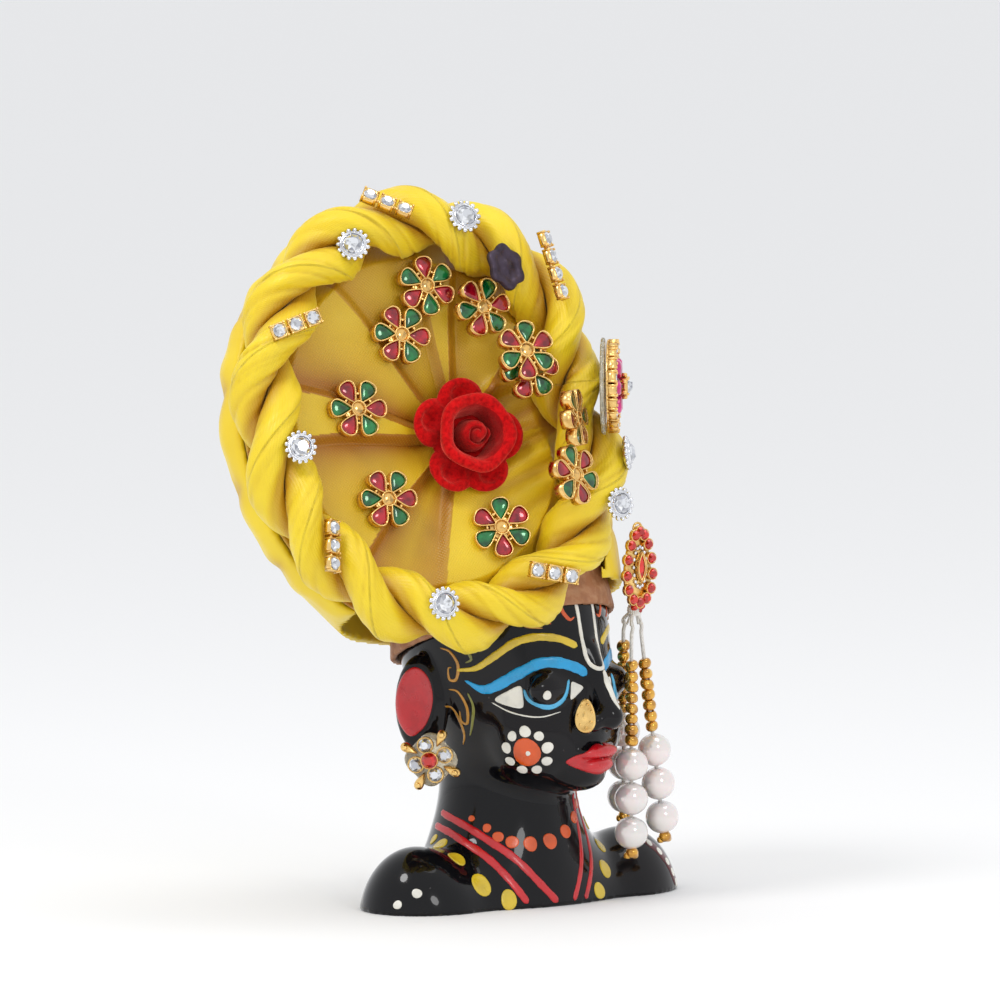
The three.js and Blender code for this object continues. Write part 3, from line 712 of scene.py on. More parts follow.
def head_surface(line):
    """Points of the head at [degrees from the middle of the face to the doll's right, height] places."""
    a = np.radians(line[:, 0])
    out = head_to_world(np.stack([-np.sin(a), -np.cos(a), 0 * a], -1))
    reach = np.arange(32, 6, -0.1)
    p = out[:, None] * reach[None, :, None] + np.array([0, 0, 1.0]) * line[:, 1][:, None, None]
    inside = bust_distance(p[..., 0], p[..., 1], p[..., 2]) < 0
    return p[np.arange(len(p)), inside.argmax(1)]


def on_head(points, per=14):
    """A line on the head through places given in degrees and height."""
    return settle(head_surface(spline(points, per) if len(points) > 1 else np.asarray(points, float)))


def on_body(points, per=14):
    """A line on the neck and shoulders through rough [x, y, z] points."""
    line = spline(points, per) if len(points) > 1 else np.asarray(points, float)
    return settle(line)


def even(line, gap=0.35, closed=False):
    """The same line with its points evenly spaced."""
    if closed:
        line = np.concatenate([line, line[:1]])
    far = np.concatenate([[0], np.cumsum(np.linalg.norm(np.diff(line, axis=0), axis=1))])
    count = max(int(far[-1] / (gap * FINE)), 6)
    at = np.linspace(0, far[-1], count + 1)[: count if closed else count + 1]
    return np.stack([np.interp(at, far, line[:, i]) for i in range(3)], -1)


def lay(rows, heights):
    """Rows of points drawn onto the bust and raised, each row by a height of its own."""
    p = settle(rows.reshape(-1, 3))
    p = p + bust_normal(p) * np.repeat(heights, rows.shape[1])[:, None]
    p[:, 2] = np.maximum(p[:, 2], 0.05)
    return p.reshape(rows.shape)


def stroke(colour, line, widths, lift=0.13):
    """A brush stroke: a raised ribbon whose width runs through the widths given, its ends rounded."""
    line = settle(even(line))
    count = len(line)
    ahead = np.gradient(line, axis=0)
    across = np.cross(bust_normal(line), ahead)
    across /= np.linalg.norm(across, axis=1)[:, None]
    t = np.linspace(0, 1, count)
    width = np.interp(t, np.linspace(0, 1, len(widths)), widths)
    far = np.arange(count) * 0.35
    ends = np.minimum(far, far[::-1]) / (0.5 * width)
    width = width * np.sqrt(np.clip(1 - (1 - np.clip(ends, 0.02, 1)) ** 2, 0.02, 1))
    width = width * (1 + 0.05 * np.sin(far * 1.7 + len(line)) + 0.03 * np.sin(far * 4.1))
    section = (
        (-1, -0.2), (-0.93, 0.6), (-0.5, 1), (0, 1.1), (0.5, 1), (0.93, 0.6), (1, -0.2), (0.6, -1.2),
        (-0.6, -1.2)
    )
    rows = np.stack([line + across * (share * width / 2)[:, None] for share, _ in section])
    rows = lay(rows, [lift * height for _, height in section])
    PAINTED[colour].add(*loft(rows.transpose(1, 0, 2)))


RINGS = (
    (0.05, -1.2), (0.9, -1.2), (1, -0.2), (0.98, 0.6), (0.9, 1), (0.75, 1), (0.58, 1), (0.4, 1), (0.2, 1),
    (0.02, 1)
)


def daub(colour, outline, lift=0.13):
    """A small filled patch of paint with a rounded edge."""
    centre = outline.mean(0)
    rows = np.stack([centre + (outline - centre) * share for share, _ in RINGS])
    PAINTED[colour].add(*loft(lay(rows, [lift * height for _, height in RINGS])))


def daub_head(colour, points, lift=0.13):
    """A filled patch on the head, its outline through places given in degrees and height."""
    outline = spline(points, 10, True)
    centre = outline.mean(0)
    rows = np.stack([head_surface(centre + (outline - centre) * share) for share, _ in RINGS])
    PAINTED[colour].add(*loft(lay(rows, [lift * height for _, height in RINGS])))


def dot(colour, at, radius, lift=0.17, tall=1.0):
    """A round dab of paint, taller than wide where tall is over 1."""
    normal = bust_normal(at)[0]
    side = unit(np.cross([0, 0, 1.0], normal))
    up = np.cross(normal, side)
    t = np.arange(18) / 18 * TAU
    wobble = radius * (1 + 0.05 * np.sin(2 * t + at[0, 0] * 3) + 0.03 * np.sin(3 * t + at[0, 2] * 5))
    daub(
        colour, at[0] + side * (wobble * np.cos(t))[:, None] + up * (wobble * tall * np.sin(t))[:, None],
        lift
    )


PAINTED = {colour: Form() for colour in PAINTS}


def mirrored(points, side):
    return [[side * degrees, height] for degrees, height in points]


def paint_head(side):
    def line(colour, points, widths, lift=0.13):
        stroke(colour, on_head(mirrored(points, side)), widths, lift)

    def patch(colour, points, lift=0.13):
        daub_head(colour, mirrored(points, side), lift)

    # Brows: yellow over blue.
    line(
        "yellow", [[82, 42.2], [69, 42.8], [57, 45.2], [46, 47.5], [34, 48.4], [21, 48], [10, 46.5]],
        [0.5, 1.3, 1.5, 1.4, 1.3]
    )
    line(
        "blue", [[77, 40.4], [63, 39], [44, 42], [33, 43.7], [22, 43.8], [11, 42.6], [6.5, 41.4]],
        [0.4, 1.9, 2.1, 2, 2, 1.8]
    )
    # Eye: two white corners, a pale crescent under the iris and a glint.
    patch("white", [[58, 37.2], [50, 38.9], [43, 39.8], [41.5, 38], [42, 36], [49, 36.1]])
    patch("white", [[8.5, 39.2], [12, 40], [15.5, 40.3], [16.2, 38.8], [16, 37.2], [12, 38]])
    line(
        "pale_blue", [[41, 39.2], [39, 37.6], [34, 36.5], [27, 36.2], [20.5, 37.6], [17.2, 40.8]],
        [0.4, 0.9, 1.1, 1.0, 0.8, 0.5]
    )
    dot("white", on_head([[side * 31, 38.4]]), 0.85, 0.2)
    line("white", [[60, 36.7], [48, 35.1], [34, 34.4], [22, 35.2]], [0.2, 0.28, 0.28, 0.15], 0.08)
    # Cheek rosette.
    middle = on_head([[side * 40, 28]])
    dot("orange", middle, 2.75, 0.14)
    normal = bust_normal(middle)[0]
    across = unit(np.cross([0, 0, 1.0], normal))
    up = np.cross(normal, across)
    for k in range(9):
        a = TAU * (k + 0.3) / 9
        at = settle(middle + 4.15 * (across * math.cos(a) + up * math.sin(a)))
        dot("white", at, 0.98 + 0.12 * math.sin(3 * k + 1), 0.18)
    dot("white", settle(middle + across * 0.3), 0.45, 0.26)
    # Ear hollow.
    patch(
        "red",
        [
            [97, 36.5], [99.5, 40.4], [106, 42.4], [112, 40.5], [115, 36], [113, 32.4], [107.5, 30],
            [101, 31.8]
        ],
        0.22
    )
    # Curls at the temple and on the forehead.
    gold = [
        [[93, 46], [86, 45.4], [81, 43.2], [83, 40.6], [88, 40.4], [88, 42.4], [85.5, 42.6]],
        [[85, 46.6], [77, 46.4], [72, 44.4], [76, 43.6]],
        [[90, 38.6], [83, 38.2], [78, 35.4], [80, 32.6], [85, 32.8], [84.5, 34.8]],
        [[92, 35.6], [88, 34], [85.5, 30.6], [89, 28.4]],
        [[76, 38.2], [73, 35.6], [76, 32.4], [80, 30.2]],
        [[70, 47.4], [62, 48], [56, 50], [60, 51.4]],
    ]
    for k, points in enumerate(gold):
        line("olive" if k in (1, 4) else "gold", points, [0.25, 0.6, 0.6, 0.25], 0.1)
    line("orange", [[18, 54.4], [17, 52.6], [13, 51.2], [9.5, 51.6]], [0.3, 0.8, 0.7, 0.25])
    line("orange", [[33, 53.6], [30, 51.6], [25, 50.6]], [0.3, 0.7, 0.3])
    line("gold", [[46, 52.2], [40, 50.4], [30, 49.9]], [0.2, 0.5, 0.2])


def paint_middle():
    stroke(
        "white",
        on_head(
            [
                [8, 56.6], [6.6, 52], [6, 47], [5.6, 44.4], [3.4, 42.7], [-0.6, 42.6], [-4.4, 44.2],
                [-6.4, 48.6], [-7, 53], [-8, 57]
            ]
        ),
        [0.75, 0.8, 0.75, 0.8, 0.75]
    )
    stroke(
        "white", on_head([[-0.5, 42.2], [-0.5, 40], [-0.5, 37.4], [-0.5, 35.4]]), [0.8, 2.1, 1.5, 0.4], 0.1
    )
    lips = [[19, 26.2], [12.5, 27.6], [7, 28.7], [2.5, 29.1], [0, 28.7]]
    lower = [[5, 23.9], [12, 24.8]]
    outline = lips + mirrored(lips[3::-1], -1) + mirrored(lower[::-1], -1) + [[0, 23.6]] + lower
    daub_head("red", outline, 0.2)


def paint_body():
    necklace = [[-12, -5, 15.4], [-11, -8, 14], [-10, -10, 12.6], [-8, -11.5, 11.6], [-5, -13, 11.2]]
    necklace += [[-1, -13.5, 11.4], [3, -13, 12.8], [6, -11, 14.8], [8, -9.5, 17], [9.6, -7.6, 18.8]]
    for at, radius in zip(necklace, (0.6, 0.8, 1.0, 1.2, 1.35, 1.45, 1.3, 1.1, 0.9, 0.7)):
        dot("orange", on_body([at]), radius)
    stroke(
        "red",
        on_body([[-13, 3, 16], [-12.4, -6.6, 13.2], [-8, -12.5, 8.6], [-4.6, -15, 4.4], [-1.4, -16, 0.8]]),
        [1.2, 1.5, 1.4]
    )
    stroke(
        "red", on_body([[-13.4, 4, 13.6], [-14.4, -4.5, 12], [-11.7, -11, 8], [-7.4, -15.2, 1]]),
        [1.2, 1.5, 1.4]
    )
    stroke(
        "red", on_body([[7, -9.6, 19], [7.2, -11.6, 13], [5.6, -13.6, 7], [2.4, -16, 0.8]]), [0.9, 1.0, 1.0]
    )
    stroke(
        "red", on_body([[9.4, -7.6, 19], [9.8, -9.8, 12.6], [8.6, -12.4, 7], [5.2, -15.6, 0.8]]),
        [0.9, 1.0, 1.0]
    )
    for at, radius in (
        ([-16, 2.5, 12], 0.9),
        ([-16.4, -1.4, 11], 1.35),
        ([-17.2, -7.4, 9], 1.6),
        ([-15.4, -12, 4.6], 1.95),
        ([-11, -14.6, 1.9], 1.6),
        ([12, -6, 17.4], 1.0),
        ([13, -7.4, 13.4], 1.1),
        ([14.4, -9, 9.4], 1.3),
        ([12.2, -12.2, 5.2], 1.5),
        ([9.2, -14.9, 1.9], 1.4),
    ):
        dot("yellow", on_body([at]), radius, 0.16, 1.15)
    dot("white", on_body([[-28.6, -10.6, 4]]), 0.9)
    dot("white", on_body([[-31.4, -8.6, 2]]), 0.8)
    stroke(
        "maroon", on_body([[24, -9, 9.6], [27.6, -11, 6.6], [29.6, -12, 3.6], [30.4, -12, 1]]),
        [1.8, 2.4, 2.4, 2.4]
    )
    for at in ([24.8, -9.6, 9], [26.6, -10.6, 7.4], [28.2, -11.4, 5.6], [29.4, -12, 3.6], [30.2, -12, 1.6]):
        dot("white", on_body([at]), 0.6, 0.24, 1.3)


paint_head(1)
paint_head(-1)
paint_middle()
paint_body()
for colour, form in PAINTED.items():
    if form.count:
        form.make(f"paint_{colour}", [PAINTS[colour]], "bust", "lacquer")

# ---------------------------------------------------------------- turban frame

FAN_CENTRE = np.array([-25.9, -11.4, 87.7])
FAN_TURN, FAN_LEAN, FAN_ROLL = (math.radians(a) for a in (-15, 15, 11))
FAN_RIGHT = np.array([math.cos(FAN_TURN), math.sin(FAN_TURN), 0])
FAN_OUT = np.array(
    [
        math.sin(FAN_TURN) * math.cos(FAN_LEAN),
        -math.cos(FAN_TURN) * math.cos(FAN_LEAN),
        math.sin(FAN_LEAN),
    ]
)
FAN_UP = np.cross(FAN_OUT, FAN_RIGHT)
FAN_AXES = (FAN_CENTRE, FAN_RIGHT, FAN_UP, FAN_OUT)
ROPE_TALL, ROPE_WIDE, ROPE_TWISTS, ROPE_START = 35.3, 30.8, 7, 0.6
ROPE_REACH = 6.15
DENT_AT, DENT_REACH, DENT_DEPTH = -0.07, 0.3, 4.4
HUB = np.array([7.0, -2.5])
FLANGE = ROPE_REACH + 0.3


def dent(angle):
    away = np.arctan2(np.sin(angle - DENT_AT), np.cos(angle - DENT_AT))
    return DENT_DEPTH * np.exp(-((away / DENT_REACH) ** 2))


def oval(angle, outside):
    x, y = (ROPE_WIDE + outside) * np.cos(angle), (ROPE_TALL + outside) * np.sin(angle)
    c, s = math.cos(FAN_ROLL), math.sin(FAN_ROLL)
    return np.stack([x * c - y * s, x * s + y * c, 0 * x], -1)


def rope_strand(phase, name, node, seed):
    steps, sides = int(560 / FINE), int(36 / FINE)
    angle = np.arange(steps) / steps * TAU
    middle = oval(angle, -dent(angle))
    ahead = np.roll(middle, -1, 0) - np.roll(middle, 1, 0)
    ahead /= np.linalg.norm(ahead, axis=1)[:, None]
    out = np.stack([ahead[:, 1], -ahead[:, 0], 0 * angle], 1)
    twist = phase - ROPE_TWISTS * angle
    up = np.array([0, 0, 1.0])
    away = out * np.cos(twist)[:, None] + up * np.sin(twist)[:, None]
    beside = -out * np.sin(twist)[:, None] + up * np.cos(twist)[:, None]
    around = np.arange(sides) / sides * TAU
    a, t = around[None, :], angle[:, None]
    offset, full = 2.75, 3.75 + 0.18 * np.sin(3 * t + seed) + 0.12 * np.sin(8 * t + 2 * seed)
    flat = offset / np.maximum(-np.cos(a), 1e-3)
    facing = join(full + 0 * a, np.where(np.cos(a) < 0, np.minimum(flat, 9), 9.0), 0.9)
    drift = 1.2 * np.sin(2 * t + seed) + ROPE_TWISTS * 0.35 * t
    creases = 0
    for k, (rate, wave, depth) in enumerate(((2, 3, 0.34), (3, 8, 0.20), (5, 4, 0.10))):
        line = np.sin(rate * (a + drift) + wave * t * 0.5 * 2 + seed * (k + 1.7))
        creases = creases - depth * np.exp(-((line / 0.3) ** 2)) * smooth(
            0.5 + 0.9 * np.sin((5 + 4 * k) * t + 2 * k + seed)
        )
    lumps = 0.10 * np.sin(4 * a + 9 * t + seed) + 0.06 * np.sin(7 * a - 16 * t)
    radius = facing + creases + lumps
    row = middle[:, None] + away[:, None] * (offset + radius * np.cos(a))[..., None]
    row = row + beside[:, None] * (radius * np.sin(a))[..., None]
    verts, faces = loft(row, True)
    # Painted shade: darker on the side pressed against the other strand and in the creases.
    hollow = smooth((-np.cos(a) + 0.15) / 0.9) + 0 * t
    shade = np.clip(0.75 * hollow - 0.55 * creases, 0, 1)
    length = 2 * math.pi * 33 * 1.12
    uv = np.stack([a * 3.7 + 0 * t, t / TAU * length + 0 * a], -1)
    form = Form().add(verts, faces, shade=shade.ravel(), uv=uv, axes=FAN_AXES)
    rope = form.make(name, [SATIN], "turban", "satin", node)
    return rope


rope_strand(ROPE_START, "rope_strand_a", "border_strand_a", 0.4)
rope_strand(ROPE_START + math.pi, "rope_strand_b", "border_strand_b", 2.9)

# Pleat edges round the rose: degrees, then the cloth's height just before and just after the edge, in mm.
PLEATS = [
    (8, 0.9, 0.2),
    (50, 0.4, 1.5),
    (88, 0.2, 1.2),
    (102, 0.9, 0.1),
    (129, 0.5, 1.6),
    (163, 0.1, 2.2),
    (181, 2.0, 0.1),
    (225, 1.8, 0.2),
    (253, 0.3, 1.9),
]


def pleat_height(angle, spread):
    """Height and shadow of the pleats at an angle in degrees, their edges this many degrees wide."""
    edges = PLEATS + [(PLEATS[0][0] + 360, *PLEATS[0][1:])]
    angle = (angle - edges[0][0]) % 360 + edges[0][0]
    height, shadow = np.zeros_like(angle), np.zeros_like(angle)
    for (a0, _, after), (a1, before, _) in zip(edges[:-1], edges[1:]):
        inside = (angle >= a0) & (angle < a1)
        t = (angle - a0) / (a1 - a0)
        height = np.where(inside, after + (before - after) * t ** 0.9, height)
    for a, before, after in edges:
        away = angle - a
        half = smooth((away + spread) / (2 * spread))
        blended = before + (after - before) * half
        near = np.abs(away) < spread
        height = np.where(near, blended, height)
        low_side = away * np.sign(before - after)
        depth = abs(before - after)
        shadow = np.maximum(
            shadow, np.where(low_side > -spread, depth * np.exp(-np.maximum(low_side, 0) / 12), 0)
        )
    return height, shadow


def fan_height(x, y):
    """Height of the dish over the fan's plane, with the painted shade of its cloth."""
    c, s = math.cos(FAN_ROLL), math.sin(FAN_ROLL)
    u, v = x * c + y * s, -x * s + y * c
    share = np.hypot(u / ROPE_WIDE, v / ROPE_TALL)
    pressed = dent(np.arctan2(v / ROPE_TALL, u / ROPE_WIDE))
    inside = np.hypot(u, v) * (1 / np.maximum(share, 1e-3) - 1) - pressed
    hub = np.hypot(x - HUB[0], y - HUB[1])
    dish = -2.5 - 3.7 * np.exp(-((hub / 13) ** 2))
    angle = np.degrees(np.arctan2(y - HUB[1], x - HUB[0])) % 360
    wobble = 1.6 * np.sin(hub / 6.5 + angle / 40)
    pleats, shadow = pleat_height(angle + wobble, np.clip(55 / np.maximum(hub, 4), 1.4, 9))
    reach = smooth(hub / 9) * (1 - 0.35 * smooth((hub - 18) / 20))
    draped = smooth((np.cos(np.radians(angle - 305)) - 0.45) / 0.35)
    bulge = 1.3 * draped * np.exp(-(((x - 15) / 13) ** 2 + ((y + 15) / 11) ** 2))
    along = (x - 20) * 0.83 + (y + 8) * 0.55
    across = -(x - 20) * 0.55 + (y + 8) * 0.83
    folds = 0.75 * np.sin(across * 1.25 + 1.5 * np.sin(along * 0.16)) * np.exp(
        -(((along - 4) / 13) ** 2 + (across / 9) ** 2)
    )
    roll_line = np.hypot((x - 18.5) / 1.25, (y - 1.0) / 0.9) - 6.2
    roll = 2.2 * np.exp(-((roll_line / 1.5) ** 2)) * smooth((y + 1.5) / 3.5) * smooth((x - 11) / 3)
    room = np.sqrt(np.maximum(FLANGE**2 - np.maximum(inside, 0) ** 2, 0))
    under = np.where(share < 1, -room, -FLANGE)
    free = dish + (pleats - 1.7) * reach * (1 - 0.6 * draped) + bulge + folds + roll
    height = join(free, under, 1.4)
    # Painted shade: darker on the low side of each pleat edge, in the sunken hub, along the rim under the
    # rope, in fold valleys and under the rolled edge, and a little darker over the pleated part than the
    # drape.
    shade = 0.6 * shadow * reach * (1 - 0.5 * draped) + 0.5 * np.exp(-((hub / 9) ** 2)) + 0.45 * np.exp(
        -np.maximum(inside - 2.5, 0) / 2.6
    )
    shade = 0.22 * (1 - draped) + shade + 0.35 * smooth(-folds * 2) + 0.3 * np.exp(
        -(((roll_line + 2.5) / 1.6) ** 2)
    ) * draped
    return height, np.clip(shade, 0, 1)


def make_fan():
    rings, across = int(110 / FINE), int(720 / FINE)
    share = np.linspace(0.0, 1.0, rings)[1:, None] ** 0.9
    angle = (np.arange(across) / across * TAU)[None, :]
    rim = oval(angle[0], -dent(angle[0]) * 0.6)[:, :2] * 1.06
    x = HUB[0] * (1 - share) + rim[None, :, 0] * share
    y = HUB[1] * (1 - share) + rim[None, :, 1] * share
    height, shade = fan_height(x, y)
    top = np.stack([x, y, height], -1)
    low = top - np.array([0, 0, 0.8])
    rows = np.concatenate([low, top[::-1]])
    verts, faces = loft(rows)
    uv = rows[..., :2]
    form = Form().add(
        verts, faces, shade=np.concatenate([shade, shade[::-1]]).ravel(), uv=uv, axes=FAN_AXES
    )
    fan = form.make("fan_cloth", [SATIN], "turban", "satin", "pleated_fan")


make_fan()


def soften(name, new_name, material, step, rounds, shape=None):
    """A CAD solid remeshed fine and smoothed, so its facets go, then shaped."""
    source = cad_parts[name]
    obj = bpy.data.objects.new(new_name, source.data.copy())
    SCENE.collection.objects.link(obj)
    obj.data.materials.clear()
    obj.data.materials.append(material)
    remesh = obj.modifiers.new("remesh", "REMESH")
    remesh.mode = "VOXEL"
    remesh.voxel_size = step * FINE * MM
    relax = obj.modifiers.new("relax", "SMOOTH")
    relax.factor = 0.5
    relax.iterations = rounds
    bpy.context.view_layer.update()
    mesh = bpy.data.meshes.new_from_object(obj.evaluated_get(bpy.context.evaluated_depsgraph_get()))
    obj.modifiers.clear()
    obj.data = mesh
    if shape is not None:
        verts = np.array([v.co for v in mesh.vertices]) / MM
        normals = np.array([v.normal for v in mesh.vertices])
        moved, shade = shape(verts, normals)
        mesh.vertices.foreach_set("co", (moved * MM).astype(np.float32).ravel())
        attribute = mesh.attributes.new("shade", "FLOAT", "POINT")
        attribute.data.foreach_set("value", shade.astype(np.float32))
    mesh.polygons.foreach_set("use_smooth", [True] * len(mesh.polygons))
    mesh.update()
    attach(obj, "turban")
    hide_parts(name)
    return obj


def shell_folds(verts, normals):
    """Gathers that run from the back of the head out to the rim, with painted shade along their valleys."""
    local = (verts - FAN_CENTRE) @ np.array([FAN_RIGHT, FAN_UP, FAN_OUT]).T
    angle = np.arctan2(local[:, 1] + 6, local[:, 0] - 8)
    rise = smooth((verts[:, 2] - 52) / 12)
    line = np.sin(11 * angle + 1.3 * np.sin(3 * angle) + 0.05 * local[:, 2])
    fine = np.sin(27 * angle + 2.1 * np.sin(5 * angle) - 0.12 * local[:, 2])
    fold = 0.75 * (np.abs(line) ** 0.7 - 0.55) + 0.25 * fine
    behind = smooth((-local[:, 2] - 8) / 5)
    moved = verts + normals * (fold * rise * behind)[:, None]
    # Painted shade in the valleys of the gathers.
    shade = np.clip(0.65 * (1 - np.abs(line)) ** 2 * behind * rise, 0, 1)
    return moved, shade


shell = soften("turban_shell", "turban_wrap", SATIN, 0.7, 6, shell_folds)
soften("head_band", "card_band", CARD, 0.45, 2)


# ---------------------------------------------------------------- studs


def add_cup(form, axes, radius, height, mat=0, sides=14, wall=0.2):
    verts, faces = revolve(
        [
            (0, 0), (radius, 0), (radius, height * 0.9), (radius - wall * 0.5, height),
            (radius - wall, height * 0.9), (radius - wall, height * 0.5), (0, height * 0.5)
        ],
        sides,
    )
    form.add(verts, faces, mat, axes=axes)


def shift(axes, x=0.0, y=0.0, z=0.0, turn=0.0):
    """Axes moved within themselves and turned about their z."""
    origin, ax, ay, az = axes
    c, s = math.cos(turn), math.sin(turn)
    return origin + ax * x + ay * y + az * z, ax * c + ay * s, ay * c - ax * s, az


def teardrop(reach, start, half, points=22):
    t = np.arange(points) / points * TAU
    middle, long = (reach + start) / 2, (reach - start) / 2
    x = middle + long * np.cos(t)
    y = half * np.sin(t) * (0.62 + 0.42 * np.cos(t))
    return np.stack([x, y], 1)


def add_cell(form, axes, outline, tall, fill, gold=0):
    """A gold cell wall round an outline, filled with domed enamel."""
    n = len(outline)
    centre = outline.mean(0)
    around = np.concatenate([outline, np.full((n, 1), tall)], 1)
    form.add(*tube(around, 0.14, 7, True), gold, axes=axes)
    wall = [
        np.concatenate([centre + (outline - centre) * g, np.full((n, 1), z)], 1) for g,
        z in ((1.06, 0), (1.06, tall), (0.98, tall), (0.98, 0.4))
    ]
    form.add(*loft(wall), gold, axes=axes)
    rings = [
        np.concatenate([centre + (outline - centre) * g, np.full((n, 1), tall - 0.12 - 0.28 * g**3)], 1)
        for g in (1.0, 0.8, 0.55, 0.25, 0.02)
    ]
    base = np.concatenate([centre + (outline - centre), np.full((n, 1), 0.3)], 1)
    form.add(*loft([base, *rings]), fill, axes=axes)


def flower_stud(node, turn, name=None):
    axes = shift(seat_of(node, FAN_OUT), turn=turn)
    form = Form()
    tall = 2.0
    for k in range(6):
        petal = shift(axes, turn=k * TAU / 6)
        add_cell(form, petal, teardrop(5.25, 1.2, 2.15), tall, 1 + k % 2)
        for s in (-1, 1):
            form.add(*revolve(rounded_profile(0.22, 0, tall, 0.1), 8), 0, axes=shift(petal, 2.3, s * 1.25))
    form.add(*revolve(rounded_profile(2.1, 0, 0.9, 0.2), 20), 0, axes=axes)
    t = np.arange(18) / 18 * TAU
    add_cell(form, axes, np.stack([1.3 * np.cos(t), 1.3 * np.sin(t)], 1), tall + 0.1, 3)
    form.make(name or node + "_enamelled", [GOLD, RED, GREEN, HONEY], "turban", "enamel", node)


for i in range(1, 11):
    flower_stud(f"flower_stud_{i}", 0.37 * i)


def turned_stud():
    axes = seat_of("flower_stud_reversed", FAN_OUT)
    t = np.arange(60) / 60 * TAU
    radius = 4.0 + 0.35 * np.cos(6 * t)
    outline = np.stack([radius * np.cos(t), radius * np.sin(t)], 1)
    rings = [
        (0.98, 0.0), (1.0, 0.3), (1.0, 0.9), (0.96, 1.12), (0.7, 1.15), (0.66, 0.95), (0.3, 0.95),
        (0.26, 1.12), (0.02, 1.14)
    ]
    rows = [np.concatenate([outline * g, np.full((60, 1), z)], 1) for g, z in rings]
    Form().add(*loft(rows), axes=axes).make(
        "stud_turned_over", [DARK], "turban", "dark_metal", "flower_stud_reversed"
    )


turned_stud()


def halo_stone(node):
    axes = seat_of(node, FAN_OUT)
    form = Form()
    form.add(*revolve(rounded_profile(2.45, 0, 0.8, 0.15), 20), 0, axes=axes)
    add_cup(form, axes, 2.05, 1.25, 0, 18)
    add_gem(form, shift(axes, z=0.75), 1.8, 1.25, 1)
    ball = revolve([(0.46 * math.cos(a), 0.55 + 0.46 * math.sin(a)) for a in np.linspace(-1.5, 1.5, 7)], 8)
    count = 15
    for k in range(count):
        form.add(*ball, 0, axes=shift(shift(axes, turn=k * TAU / count), 2.62))
    form.make(node + "_set", [SILVER, CLEAR], "turban", "clear_stone", node)


for i in range(1, 7):
    halo_stone(f"halo_stone_{i}")


def square_cup(form, axes, size, tall, metal=0):
    half = size / 2
    loops = []
    for g, z in ((1.0, 0), (1.0, tall), (0.84, tall), (0.8, tall * 0.35)):
        t = (np.arange(16) + 0.5) / 16 * TAU
        power = 5
        r = half * g / (np.abs(np.cos(t)) ** power + np.abs(np.sin(t)) ** power) ** (1 / power)
        loops.append(np.stack([r * np.cos(t), r * np.sin(t), np.full(16, z)], 1))
    form.add(*loft(loops), metal, axes=axes)
    for k in range(4):
        form.add(
            *revolve(rounded_profile(0.22, 0, tall + 0.25, 0.12), 7), metal,
            axes=shift(shift(axes, turn=TAU * (k + 0.5) / 4), half * 1.25)
        )


def stone_bar(node, count):
    axes = seat_of(node, FAN_OUT)
    form = Form()
    for k in range(count):
        cup = shift(axes, (k - (count - 1) / 2) * 3.25)
        square_cup(form, cup, 2.75, 1.35)
        add_gem(form, shift(cup, z=0.85), 1.32, 1.0, 1)
    line = [(x, 0, 0.35) for x in np.linspace(-(count - 1) * 1.625, (count - 1) * 1.625, 5)]
    form.add(*tube(line, 0.3, 8), 0, axes=axes)
    form.make(node + "_set", [GOLD, CLEAR], "turban", "clear_stone", node)


for i, count in enumerate((3, 3, 3, 3, 4), 1):
    stone_bar(f"stone_bar_{i}", count)

# ---------------------------------------------------------------- rose

ROSE_ANGLES = [94, 1, -64, -121, 155]


